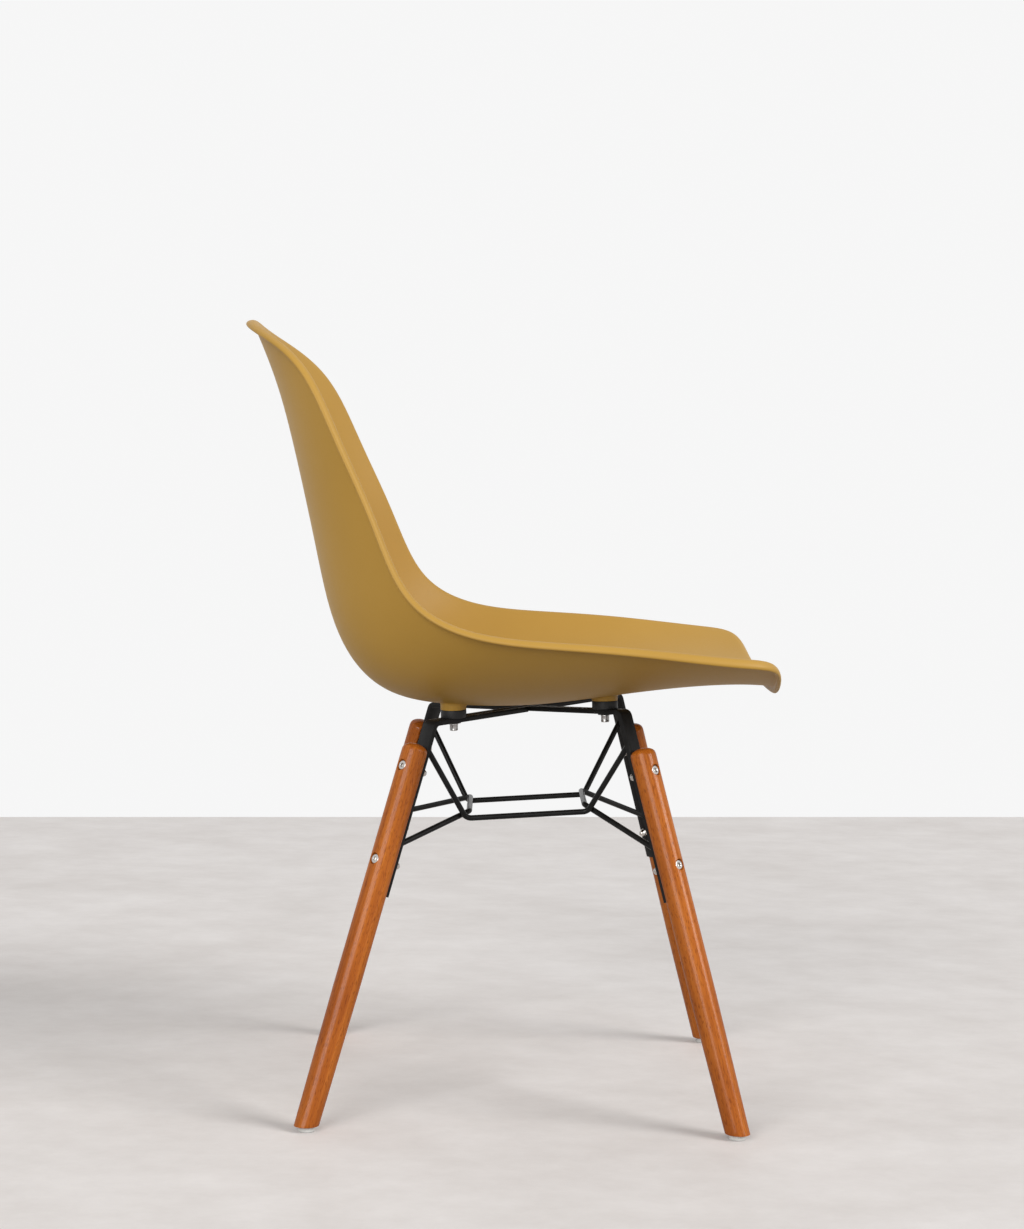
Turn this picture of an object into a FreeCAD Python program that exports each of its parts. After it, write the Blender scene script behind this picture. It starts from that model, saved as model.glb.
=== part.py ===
"""Moulded plastic shell chair on four wooden dowel legs, held by a frame of flat bar and wire.

Millimetres, +Z up, the front of the seat towards -Y, left and right as the sitter has them.
Everything stands on Z = 0. The four legs lie in two vertical planes that cross over the middle
of the base, so each leg, its bracket and its strap are drawn in the plane of one diagonal.
"""

import FreeCAD, Part
import math
import os

Vector = FreeCAD.Vector

# Shell: wall of the moulding and the lip that rolls over its whole edge
WALL = 5.0
LIP_RADIUS = 8.0
LIP_ANGLE = 86.0
LIP_SKIRT = 3.0
# How sharply the seat curls up at its sides: 2 is an even bowl, 4 a flat pan
CURL = 3.0
# How far the level of the shell lies under the tops of the spacers, over the middle of the frame
SHELL_SINK = 3.7
# Middle of the seat and back from the front edge to the top edge, as Y and height over the level
CENTRE_LINE = [(-253, 32), (-218, 35), (-155, 30), (-78, 17), (-1, 4), (78, 3),
               (157, 10), (205, 68), (223, 158), (244, 248), (265, 333), (292, 392)]
# Side rim at the same stations, as Y and height over the level
RIM_LINE = [(-249, 73), (-222, 68), (-163, 72), (-89, 78), (-13, 80), (58, 83),
            (117, 105), (144, 152), (164, 207), (193, 269), (212, 336), (211, 396)]
# Half width of the shell at the same stations
HALF_WIDTHS = [211, 221, 227, 229, 227, 219, 205, 188, 175, 167, 167, 171]
# Edge of the moulding as shares of the half width and of the way from front to top, right half
EDGE = [(0, 0.004), (0.35, 0.002), (0.72, 0.018), (0.97, 0.035), (1, 0.13), (1, 0.3), (1, 0.45),
        (1, 0.6), (1, 0.75), (0.97, 0.885), (0.775, 0.958), (0.42, 0.998), (0, 1.014)]
# Poles of the moulded surface: per edge handle, from the middle to the edge, and over the lip
COLUMNS_PER_HANDLE = 4
RINGS = 14
LIP_ROWS = 5
# Edge handles, counted once round, at which the surface is divided into faces clear of the bosses
DIVISIONS = (0, 4, 7, 17, 20, 24)

# Seat fastenings, one set per boss
BOSS_D = 27.0
INSERT_D = 8.0
INSERT_LENGTH = 7.0
INSERT_GROOVE_DEPTH = 0.6
INSERT_GROOVE_WIDTH = 1.7
SPACER_D = 27.0
SPACER_T = 8.5
BOLT_REACH = 108.5
BOLT_D = 5.0
BOLT_HEAD_D = 8.5
BOLT_HEAD_H = 6.0
BOLT_SOCKET = 4.0
BOLT_SOCKET_DEPTH = 3.0
BOLT_END_GAP = 0.8
FLAT_WASHER_D = 15.0
FLAT_WASHER_T = 1.2
SPRING_WASHER_D = 9.2
SPRING_WASHER_T = 1.8
SPRING_WASHER_SLIT = 0.9
HOLE_CLEARANCE = 0.5
FIT_CLEARANCE = 0.1

# Legs: round dowels that taper towards the foot and are domed on top
FOOT_X = 202.5
FOOT_Y = 217.0
LEG_SPLAY = 20.1
LEG_LENGTH = 401.0
LEG_D = 27.0
LEG_FOOT_D = 24.6
LEG_TAPER = 140.0
LEG_DOME = 5.0

# Straps: flat bars that cross under the seat and bend down into the leg brackets
STRAP_W = 17.5
STRAP_T = 5.0
STRAP_BEND = 6.5
STRAP_RISE = 30.7
FRAME_TILT = 4.4
BRACKET_LENGTH = 160.0
LAP_CLEARANCE = 0.1

# Wires welded to the brackets, their ends measured down the leg from its top
WIRE_D = 6.0
WIRE_BEND = 9.0
WELD_GAP = 0.1
SIDE_WIRE_REACH = 64.0
SIDE_WIRE_DROP = 109.2
SIDE_WIRE_FRONT_END = -9.0
SIDE_WIRE_REAR_END = 0.0
END_WIRE_REACH = 61.0
END_WIRE_END = 109.0

# Leg bolts and their domed nuts, measured down the leg from its top
LEG_BOLT_STEPS = (26.0, 126.0)
LEG_BOLT_D = 5.0
LEG_BOLT_HEAD_D = 10.5
LEG_BOLT_HEAD_H = 3.0
LEG_BOLT_SUNK = 2.0
LEG_BOLT_SOCKET = 4.0
LEG_BOLT_SOCKET_DEPTH = 1.8
COUNTERBORE_D = 12.0
NUT_ACROSS = 8.0
NUT_HEX_H = 4.5
NUT_H = 10.0
NUT_CAP_D = 7.4
NUT_GRIP = 6.5

# Glides nailed under the feet
GLIDE_D = 17.0
GLIDE_H = 6.0
GLIDE_EDGE = 1.0
NAIL_D = 3.0
NAIL_HEAD_D = 7.0
NAIL_HEAD_H = 1.2
NAIL_SEAT = 2.5
NAIL_LENGTH = 20.0

# Worked out from the sizes above
DIAGONAL = math.atan2(FOOT_Y, FOOT_X)
SPLAY = math.radians(LEG_SPLAY)
LEG_R = LEG_D / 2
STRAP_TOP = GLIDE_H + LEG_LENGTH * math.cos(SPLAY) + STRAP_RISE
SLOPE = math.tan(math.radians(FRAME_TILT))
SHELL_DATUM = STRAP_TOP + SPACER_T - SHELL_SINK
WIRE_SPREAD = WIRE_D / 2 + WELD_GAP / 2
FLAT_DEPTH = LEG_R - STRAP_T
COLUMNS = COLUMNS_PER_HANDLE * (2 * len(EDGE) - 2)
FAR = 1000.0

CORNERS = {
    "front_left": (1, -1),
    "front_right": (-1, -1),
    "rear_left": (1, 1),
    "rear_right": (-1, 1),
}


def blend(handles, t):
    """Point of a uniform cubic B-spline through four neighbouring handles, t from 0 to 1."""
    weights = ((1 - t) ** 3, 3 * t ** 3 - 6 * t ** 2 + 4, -3 * t ** 3 + 3 * t ** 2 + 3 * t + 1, t ** 3)
    return [sum(w * h[k] for w, h in zip(weights, handles)) / 6 for k in range(len(handles[0]))]


def open_curve(handles, t):
    """Point at t, 0 to 1, of the curve that starts at the first handle and ends at the last."""
    before = [2 * a - b for a, b in zip(handles[0], handles[1])]
    after = [2 * a - b for a, b in zip(handles[-1], handles[-2])]
    row = [before] + list(handles) + [after]
    spans = len(handles) - 1
    place = t * spans
    first = min(max(int(math.floor(place)), 0), spans - 1)
    return blend(row[first:first + 4], place - first)


def closed_curve(handles, t):
    """Point at t, 0 to 1, of the closed curve that the handles pull."""
    count = len(handles)
    place = t * count
    first = int(math.floor(place))
    return blend([handles[(first + k - 1) % count] for k in range(4)], place - first)


def stations():
    """Handles of the shell from front to top: centre Y, Z, rim Y, Z and half width."""
    return [(cy, SHELL_DATUM + cz, ry, SHELL_DATUM + rz, half)
            for (cy, cz), (ry, rz), half in zip(CENTRE_LINE, RIM_LINE, HALF_WIDTHS)]


def sitting_surface(across, along):
    """Point of the upper face, with across from -1 to 1 and along from 0 at the front to 1."""
    cy, cz, ry, rz, half = open_curve(stations(), along)
    curl = abs(across) ** CURL
    return Vector(half * across, cy + (ry - cy) * curl, cz + (rz - cz) * curl)


def sitting_normal(across, along):
    """Unit normal of the upper face, towards the sitter."""
    step = 0.001
    up = sitting_surface(across, along + step) - sitting_surface(across, along - step)
    side = sitting_surface(across + step, along) - sitting_surface(across - step, along)
    return side.cross(up).normalize()


def edge_point(t):
    """Place on the edge of the moulding as (across, along), once round for t from 0 to 1."""
    left = [(-across, along) for across, along in reversed(EDGE[1:-1])]
    return closed_curve(EDGE + left, t)


def lip_sections(points, normals):
    """Rows of the rolled lip from the edge outwards: upper face, rounded tip, lower face."""
    count = len(points)
    upper = [[] for _ in range(LIP_ROWS + 1)]
    lower = [[] for _ in range(LIP_ROWS + 1)]
    tip = []
    for k, (point, normal) in enumerate(zip(points, normals)):
        along = points[(k + 1) % count] - points[k - 1]
        outward = normal.cross(along).normalize() * -1
        centre = point - normal * LIP_RADIUS
        for row in range(1, LIP_ROWS + 1):
            angle = math.radians(LIP_ANGLE) * row / LIP_ROWS
            ray = normal * math.cos(angle) + outward * math.sin(angle)
            upper[row - 1].append(centre + ray * LIP_RADIUS)
            lower[row - 1].append(centre + ray * (LIP_RADIUS - WALL))
        angle = math.radians(LIP_ANGLE)
        down = outward * math.cos(angle) - normal * math.sin(angle)
        upper[LIP_ROWS].append(upper[LIP_ROWS - 1][k] + down * LIP_SKIRT)
        lower[LIP_ROWS].append(lower[LIP_ROWS - 1][k] + down * LIP_SKIRT)
        tip.append((upper[LIP_ROWS][k] + lower[LIP_ROWS][k]) * 0.5 + down * (WALL / 2))
    return upper + [tip] + lower[::-1]


def moulding_rows():
    """Rows of poles from the middle of the upper face over the lip to the middle below."""
    edge = [edge_point(k / COLUMNS) for k in range(COLUMNS)]
    middle = 0.5
    upper = []
    lower = []
    for ring in range(RINGS + 1):
        share = ring / RINGS
        places = [(share * across, middle + share * (along - middle)) for across, along in edge]
        points = [sitting_surface(*place) for place in places]
        normals = [sitting_normal(*place) for place in places]
        upper.append(points)
        lower.append([point - normal * WALL for point, normal in zip(points, normals)])
    lip = lip_sections(points, normals)
    return upper + lip + lower[::-1]


def moulding():
    """The thin moulded sheet with its lip, closed into one solid."""
    rows = moulding_rows()
    poles = [[row[k] for row in rows] for k in range(COLUMNS)]
    round_knots = list(range(COLUMNS + 1))
    cross_knots = list(range(len(rows) - 2))
    cross_mults = [4] + [1] * (len(cross_knots) - 2) + [4]
    tip = cross_knots[-1] // 2
    faces = []
    for start, end in zip(DIVISIONS, DIVISIONS[1:]):
        for low, high in ((0, tip), (tip, cross_knots[-1])):
            surface = Part.BSplineSurface()
            surface.buildFromPolesMultsKnots(
                poles, [1] * len(round_knots), cross_mults, round_knots, cross_knots, True, False, 3, 3)
            surface.segment(start * COLUMNS_PER_HANDLE, end * COLUMNS_PER_HANDLE, low, high)
            faces.append(surface.toShape())
    sewn = Part.makeCompound(faces)
    sewn.sewShape()
    solid = Part.Solid(sewn.Shells[0])
    if solid.Volume < 0:
        solid.reverse()
    return solid


def diagonal_axes(corner):
    """Unit vectors of a corner's vertical plane: outwards along the floor, and across it."""
    side, end = CORNERS[corner]
    outward = Vector(side * math.cos(DIAGONAL), end * math.sin(DIAGONAL), 0)
    across = Vector(side * math.sin(DIAGONAL), -end * math.cos(DIAGONAL), 0)
    return outward, across


def strap_direction(corner):
    """Unit vector along the top of the strap from the middle of the frame to a corner."""
    outward, _ = diagonal_axes(corner)
    return Vector(outward.x, outward.y, -outward.y * SLOPE).normalize()


def boss_frame(corner):
    """Placement on top of the strap under a boss, with Z up square to the strap."""
    along = strap_direction(corner)
    _, across = diagonal_axes(corner)
    up = along.cross(across)
    if up.z < 0:
        up = up * -1
    turn = FreeCAD.Rotation(along, up.cross(along), up, "ZXY")
    return FreeCAD.Placement(Vector(0, 0, STRAP_TOP) + along * BOLT_REACH, turn)


def leg_frame(corner):
    """Placement at the top of a leg, with Z up along its axis and X away from the chair."""
    outward, _ = diagonal_axes(corner)
    side, end = CORNERS[corner]
    axis = Vector(0, 0, math.cos(SPLAY)) - outward * math.sin(SPLAY)
    away = outward * math.cos(SPLAY) + Vector(0, 0, math.sin(SPLAY))
    foot = Vector(side * FOOT_X, end * FOOT_Y, GLIDE_H)
    turn = FreeCAD.Rotation(away, axis.cross(away), axis, "ZXY")
    return FreeCAD.Placement(foot + axis * LEG_LENGTH, turn)


def disc(diameter, low, high):
    """Solid disc about the Z axis between two heights."""
    return Part.makeCylinder(diameter / 2, high - low, Vector(0, 0, low))


def ring(outer, inner, low, high):
    """Disc with a round hole through it."""
    return disc(outer, low, high).cut(disc(inner, low - 1, high + 1))


def hexagon(across_flats, low, high):
    """Solid hexagonal prism about the Z axis between two heights."""
    radius = across_flats / math.sqrt(3)
    corners = [Vector(radius * math.cos(k * math.pi / 3), radius * math.sin(k * math.pi / 3), low)
               for k in range(7)]
    return Part.Face(Part.makePolygon(corners)).extrude(Vector(0, 0, high - low))


def placed(shape, placement):
    """Copy of a shape moved by a placement."""
    copy = shape.copy()
    copy.Placement = placement.multiply(copy.Placement)
    return copy


def at_bosses(shape):
    """One copy of a fastening on each of the four boss axes."""
    return [placed(shape, boss_frame(corner)) for corner in CORNERS]


def seat_shell():
    """Moulded shell with its four bosses, each drilled for an insert."""
    shell = moulding()
    rise = shell.BoundBox.ZMax - STRAP_TOP
    for corner in CORNERS:
        column = placed(disc(BOSS_D, SPACER_T, rise), boss_frame(corner))
        boss = min(column.cut(shell).Solids, key=lambda piece: piece.CenterOfMass.z)
        shell = shell.fuse(boss)
    for corner in CORNERS:
        hole = disc(INSERT_D, SPACER_T - 1, SPACER_T + INSERT_LENGTH)
        shell = shell.cut(placed(hole, boss_frame(corner)))
    return shell.Solids


def boss_inserts():
    """Threaded inserts, flush with the ends of the bosses."""
    outer = INSERT_D - 2 * FIT_CLEARANCE
    top = SPACER_T + INSERT_LENGTH - FIT_CLEARANCE
    insert = ring(outer, BOLT_D + 2 * FIT_CLEARANCE, SPACER_T, top)
    low = SPACER_T + (INSERT_LENGTH - INSERT_GROOVE_WIDTH) / 2
    groove = ring(outer + 1, outer - 2 * INSERT_GROOVE_DEPTH, low, low + INSERT_GROOVE_WIDTH)
    return at_bosses(insert.cut(groove))


def spacer(corner):
    """Rubber spacer between a strap and its boss."""
    return [placed(ring(SPACER_D, BOLT_D + HOLE_CLEARANCE, 0, SPACER_T), boss_frame(corner))]


def seat_flat_washers():
    """Wide washers under the straps."""
    top = -STRAP_T
    return at_bosses(ring(FLAT_WASHER_D, BOLT_D + HOLE_CLEARANCE, top - FLAT_WASHER_T, top))


def seat_spring_washers():
    """Split washers between the flat washers and the bolt heads."""
    top = -STRAP_T - FLAT_WASHER_T
    washer = ring(SPRING_WASHER_D, BOLT_D + HOLE_CLEARANCE, top - SPRING_WASHER_T, top)
    slit = Part.makeBox(SPRING_WASHER_D, SPRING_WASHER_SLIT, 2 * SPRING_WASHER_T,
                        Vector(0, -SPRING_WASHER_SLIT / 2, top - 1.5 * SPRING_WASHER_T))
    return at_bosses(washer.cut(slit))


def seat_bolts():
    """Socket cap bolts from below, through strap and spacer into the inserts."""
    seat = -STRAP_T - FLAT_WASHER_T - SPRING_WASHER_T
    head = disc(BOLT_HEAD_D, seat - BOLT_HEAD_H, seat)
    shank = disc(BOLT_D, seat, SPACER_T + INSERT_LENGTH - BOLT_END_GAP)
    socket = hexagon(BOLT_SOCKET, seat - BOLT_HEAD_H - 1, seat - BOLT_HEAD_H + BOLT_SOCKET_DEPTH)
    return at_bosses(head.fuse(shank).cut(socket))


def flat(point):
    """Plane point (distance, height) as a vector for two-dimensional work."""
    return Vector(point[0], point[1], 0)


def meeting(start, direction, other_start, other_direction):
    """Where two lines of a plane cross."""
    gap = other_start - start
    share = gap.cross(other_direction).z / direction.cross(other_direction).z
    return start + direction * share


def strap_course():
    """Middle line of a strap in the plane of its diagonal, from the front bracket to the rear one.

    The plane's first coordinate is the distance behind the middle of the frame, its second is Z.
    """
    pitch = SLOPE * math.sin(DIAGONAL)
    along_top = Vector(1, -pitch, 0).normalize()
    top = flat((0, STRAP_TOP)) - Vector(-along_top.y, along_top.x, 0) * (STRAP_T / 2)
    reach = math.hypot(FOOT_X, FOOT_Y)
    course = []
    for end in (-1, 1):
        axis = Vector(-end * math.sin(SPLAY), math.cos(SPLAY), 0)
        inwards = Vector(-end * math.cos(SPLAY), -math.sin(SPLAY), 0)
        leg_top = Vector(end * reach, GLIDE_H, 0) + axis * LEG_LENGTH
        bracket = leg_top + inwards * (LEG_R - STRAP_T / 2)
        course.append([bracket - axis * BRACKET_LENGTH, meeting(top, along_top, bracket, axis)])
    return course[0] + course[1][::-1]


def bends(course, radius):
    """Tangent points, middle and centre of the arc at each inner point of a flat course."""
    found = []
    for before, corner, after in zip(course, course[1:], course[2:]):
        come = (corner - before).normalize()
        leave = (after - corner).normalize()
        turn = come.getAngle(leave)
        start = corner - come * (radius * math.tan(turn / 2))
        end = corner + leave * (radius * math.tan(turn / 2))
        centre = corner + (leave - come).normalize() * (radius / math.cos(turn / 2))
        middle = centre + (corner - centre).normalize() * radius
        found.append((start, middle, end, centre))
    return found


def bar_side(course, shift):
    """Edge points of a bent bar on one side: the ends, and three points of each arc."""
    def sideways(a, b):
        way = (b - a).normalize()
        return Vector(-way.y, way.x, 0) * shift

    points = [course[0] + sideways(course[0], course[1])]
    for index, (start, middle, end, centre) in enumerate(bends(course, STRAP_BEND)):
        before = sideways(course[index], course[index + 1])
        after = sideways(course[index + 1], course[index + 2])
        radius = (start + before - centre).Length
        points += [start + before, centre + (middle - centre).normalize() * radius, end + after]
    points.append(course[-1] + sideways(course[-2], course[-1]))
    return points


def side_edges(points):
    """Straight and arc edges through the points of one side of a bar."""
    edges = [Part.LineSegment(points[0], points[1]).toShape()]
    for first in range(1, len(points) - 1, 3):
        edges.append(Part.Arc(*points[first:first + 3]).toShape())
        edges.append(Part.LineSegment(points[first + 2], points[first + 3]).toShape())
    return edges


def bent_bar(rear_corner):
    """Strap with its two brackets, without holes, ending at the given rear corner."""
    outward, across = diagonal_axes(rear_corner)

    def stand(point):
        return outward * point.x + Vector(0, 0, point.y) - across * (STRAP_W / 2)

    course = strap_course()
    over = [stand(point) for point in bar_side(course, STRAP_T / 2)]
    under = [stand(point) for point in bar_side(course, -STRAP_T / 2)]
    ends = [Part.LineSegment(over[0], under[0]).toShape(), Part.LineSegment(over[-1], under[-1]).toShape()]
    outline = Part.Wire(Part.__sortEdges__(side_edges(over) + side_edges(under) + ends))
    return Part.Face(outline).extrude(across * STRAP_W)


def lap_cut(rear_corner, upper):
    """Block over or under the halving line, as wide as the strap that crosses there."""
    outward, across = diagonal_axes(rear_corner)
    middle = STRAP_TOP - STRAP_T / 2
    width = STRAP_W + 2 * LAP_CLEARANCE
    length = 3 * STRAP_W
    height = 2 * STRAP_T
    low = middle if upper else middle - height
    block = Part.makeBox(length, width, height, Vector(-length / 2, -width / 2, 0))
    turn = FreeCAD.Rotation(outward, Vector(0, 0, 1).cross(outward), Vector(0, 0, 1), "ZXY")
    return placed(block, FreeCAD.Placement(Vector(0, 0, low), turn))


def strap(rear_corner, crossing_corner, upper):
    """Strap with bolt holes and its half of the lap joint; upper gives away the top half."""
    front_corner = {"rear_left": "front_right", "rear_right": "front_left"}[rear_corner]
    bar = bent_bar(rear_corner).cut(lap_cut(crossing_corner, upper))
    for corner in (front_corner, rear_corner):
        hole = disc(BOLT_D + HOLE_CLEARANCE, -STRAP_T - 1, 1)
        bar = bar.cut(placed(hole, boss_frame(corner)))
        for step in LEG_BOLT_STEPS:
            bar = bar.cut(placed(leg_bolt_hole(step), leg_frame(corner)))
    return [bar]


def across_leg(shape, step):
    """Shape about the Z axis turned to point away from the chair, a step down the leg."""
    turn = FreeCAD.Rotation(Vector(0, 1, 0), 90)
    return placed(shape, FreeCAD.Placement(Vector(0, 0, -step), turn))


def leg_bolt_hole(step):
    """Clearance hole for a leg bolt through leg and bracket."""
    return across_leg(disc(LEG_BOLT_D + HOLE_CLEARANCE, -LEG_D, LEG_D), step)


def leg(corner):
    """Tapered dowel with a domed top, a flat for the bracket, bolt holes and a nail hole."""
    foot = -LEG_LENGTH - LEG_D
    dome = Part.Arc(Vector(0, 0, 0), Vector(*dome_middle()), Vector(LEG_R, 0, -LEG_DOME)).toShape()
    corners = [(LEG_R, -LEG_DOME), (LEG_R, LEG_TAPER - LEG_LENGTH), (LEG_FOOT_D / 2, -LEG_LENGTH),
               (LEG_FOOT_D / 2, foot), (0, foot), (0, 0)]
    sides = Part.makePolygon([Vector(x, 0, z) for x, z in corners]).Edges
    dowel = Part.Face(Part.Wire([dome] + sides)).revolve(Vector(0, 0, 0), Vector(0, 0, 1), 360)
    flat_end = BRACKET_LENGTH + LAP_CLEARANCE
    rebate = Part.makeBox(LEG_D, 2 * LEG_D, flat_end + LEG_D, Vector(-FLAT_DEPTH - LEG_D, -LEG_D, -flat_end))
    dowel = dowel.cut(rebate)
    for step in LEG_BOLT_STEPS:
        sink = disc(COUNTERBORE_D, LEG_R - LEG_BOLT_SUNK - LEG_BOLT_HEAD_H, LEG_D)
        dowel = dowel.cut(across_leg(sink, step)).cut(leg_bolt_hole(step))
    standing = placed(dowel, leg_frame(corner))
    standing = standing.cut(Part.makeBox(FAR, FAR, FAR, Vector(-FAR / 2, -FAR / 2, GLIDE_H - FAR)))
    nail = disc(NAIL_D, GLIDE_H - 1, NAIL_SEAT + NAIL_LENGTH)
    return [standing.cut(placed(nail, foot_frame(corner)))]


def dome_middle():
    """Middle of the arc from the top of a leg to its side, as X, Y and Z in the leg's frame."""
    radius = (LEG_R ** 2 + LEG_DOME ** 2) / (2 * LEG_DOME)
    half = math.asin(LEG_R / radius) / 2
    return radius * math.sin(half), 0, radius * (math.cos(half) - 1)


def leg_bolts():
    """Flat-headed bolts through the legs, sunk in their counterbores."""
    seat = LEG_R - LEG_BOLT_SUNK - LEG_BOLT_HEAD_H
    head = disc(LEG_BOLT_HEAD_D, seat, seat + LEG_BOLT_HEAD_H)
    shank = disc(LEG_BOLT_D, -LEG_R - NUT_GRIP, seat)
    socket = hexagon(LEG_BOLT_SOCKET, seat + LEG_BOLT_HEAD_H - LEG_BOLT_SOCKET_DEPTH, seat + LEG_BOLT_HEAD_H + 1)
    bolt = head.fuse(shank).cut(socket)
    return [placed(across_leg(bolt, step), leg_frame(corner)) for corner in CORNERS for step in LEG_BOLT_STEPS]


def leg_nuts():
    """Domed nuts on the inner faces of the brackets."""
    face = -LEG_R
    hexagonal = hexagon(NUT_ACROSS, face - NUT_HEX_H, face)
    middle = face - NUT_H + NUT_CAP_D / 2
    cap = disc(NUT_CAP_D, middle, face - NUT_HEX_H / 2).fuse(Part.makeSphere(NUT_CAP_D / 2, Vector(0, 0, middle)))
    bore = disc(LEG_BOLT_D + 2 * FIT_CLEARANCE, face - NUT_GRIP - FIT_CLEARANCE, face + 1)
    nut = hexagonal.fuse(cap).cut(bore)
    return [placed(across_leg(nut, step), leg_frame(corner)) for corner in CORNERS for step in LEG_BOLT_STEPS]


def wire_end(corner, shift, step):
    """Point in the middle of a bracket's bar, a step down the leg and shifted across it."""
    _, across = diagonal_axes(corner)
    frame = leg_frame(corner)
    return frame.multVec(Vector(-LEG_R + STRAP_T / 2, 0, -step)) + across * shift


def wire_corner(corner, shift, reach_x=None, reach_y=None):
    """Point where a wire leaves the plane of a diagonal, at a distance in X or in Y."""
    outward, across = diagonal_axes(corner)
    if reach_x is not None:
        distance = (reach_x - abs(across.x) * shift) / abs(outward.x)
    else:
        distance = (reach_y + abs(across.y) * shift) / abs(outward.y)
    point = outward * distance + across * shift
    level = STRAP_TOP - SIDE_WIRE_DROP - SLOPE * point.y
    return Vector(point.x, point.y, level)


def wire(points):
    """Round wire through four points with a tangent bend at each inner one."""
    edges = []
    last = points[0]
    for start, middle, end, _ in bends(points, WIRE_BEND):
        edges.append(Part.LineSegment(last, start).toShape())
        edges.append(Part.Arc(start, middle, end).toShape())
        last = end
    edges.append(Part.LineSegment(last, points[-1]).toShape())
    section = Part.Wire(Part.Circle(points[0], points[1] - points[0], WIRE_D / 2).toShape())
    return Part.Wire(edges).makePipeShell([section], True, False)


def welded(rod, straps):
    """Wire trimmed back to the faces of the brackets that it is welded to."""
    for bar in straps:
        rod = rod.cut(bar)
    return [max(rod.Solids, key=lambda piece: piece.Volume)]


def side_wire(side, straps):
    """Wire along one side of the frame, sagging between a front and a rear bracket."""
    front = "front_" + side
    rear = "rear_" + side
    points = [wire_end(front, WIRE_SPREAD, SIDE_WIRE_FRONT_END),
              wire_corner(front, WIRE_SPREAD, reach_x=SIDE_WIRE_REACH),
              wire_corner(rear, WIRE_SPREAD, reach_x=SIDE_WIRE_REACH),
              wire_end(rear, WIRE_SPREAD, SIDE_WIRE_REAR_END)]
    return welded(wire(points), straps)


def end_wire(end, straps):
    """Wire across one end of the frame, rising from both brackets over the side wires."""
    points = []
    for side, order in (("left", 1), ("right", -1)):
        corner = end + "_" + side
        rise = Vector(0, 0, WIRE_D)
        pair = [wire_end(corner, -WIRE_SPREAD, END_WIRE_END),
                wire_corner(corner, -WIRE_SPREAD, reach_y=END_WIRE_REACH) + rise]
        points += pair[::order]
    return welded(wire(points), straps)


def foot_frame(corner):
    """Placement on the floor under a foot."""
    side, end = CORNERS[corner]
    return FreeCAD.Placement(Vector(side * FOOT_X, end * FOOT_Y, 0), FreeCAD.Rotation())


def glide(corner):
    """Round glide under a foot, hollowed for the head of its nail."""
    body = disc(GLIDE_D, 0, GLIDE_H)
    body = body.makeChamfer(GLIDE_EDGE, [edge for edge in body.Edges if edge.BoundBox.ZMax < GLIDE_EDGE])
    body = body.cut(disc(NAIL_HEAD_D, NAIL_SEAT - NAIL_HEAD_H, NAIL_SEAT))
    return [placed(body.cut(disc(NAIL_D, NAIL_SEAT - NAIL_HEAD_H, GLIDE_H + 1)), foot_frame(corner))]


def glide_nails():
    """Nails that hold the glides, from inside each glide up into the leg."""
    low = NAIL_SEAT - NAIL_HEAD_H
    nail = disc(NAIL_HEAD_D, low, NAIL_SEAT).fuse(disc(NAIL_D, NAIL_SEAT, NAIL_SEAT + NAIL_LENGTH))
    return [placed(nail, foot_frame(corner)) for corner in CORNERS]


def middle_of_depth(rows):
    """Y halfway between the foremost and the rearmost point of the shell."""
    depths = [point.y for row in rows for point in row]
    return (min(depths) + max(depths)) / 2


def nodes():
    """All sub-parts by name, each a list of separate solids, with the origin under the middle."""
    straps = strap("rear_left", "rear_right", True) + strap("rear_right", "rear_left", False)
    parts = {
        "seat_shell": seat_shell(),
        "boss_inserts": boss_inserts(),
        "seat_flat_washers": seat_flat_washers(),
        "seat_spring_washers": seat_spring_washers(),
        "seat_bolts": seat_bolts(),
        "strap_main": straps[:1],
        "strap_cross": straps[1:],
        "wire_left": side_wire("left", straps),
        "wire_right": side_wire("right", straps),
        "wire_front": end_wire("front", straps),
        "wire_rear": end_wire("rear", straps),
        "leg_bolts": leg_bolts(),
        "leg_nuts": leg_nuts(),
        "glide_nails": glide_nails(),
    }
    for corner in CORNERS:
        parts["spacer_" + corner] = spacer(corner)
        parts["leg_" + corner] = leg(corner)
        parts["glide_" + corner] = glide(corner)
    home = FreeCAD.Placement(Vector(0, -middle_of_depth(moulding_rows()), 0), FreeCAD.Rotation())
    return {name: [placed(solid, home) for solid in solids] for name, solids in parts.items()}


def main():
    """Write one STEP file per sub-part."""
    os.makedirs("parts", exist_ok=True)
    for name, solids in nodes().items():
        shape = solids[0] if len(solids) == 1 else Part.makeCompound(solids)
        shape.exportStep(os.path.join("parts", name + ".step"))
        volume = sum(solid.Volume for solid in solids)
        print(name, len(solids), "solid(s)", round(volume), "mm3", "valid", shape.isValid())


main()
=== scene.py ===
"""Looks of a moulded plastic shell chair on four wooden dowel legs.

Metres, +Z up, the front of the seat towards -Y, left and right as the sitter has them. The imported
model is the fixed frame, and every piece below stands where the frame has it.
"""

import abc
import enum
import logging
import math
from dataclasses import dataclass, field, fields
from typing import Optional, Sequence, Union

import bmesh
import bpy
import numpy as np
from mathutils import Matrix, Vector
from mathutils.bvhtree import BVHTree


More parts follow.
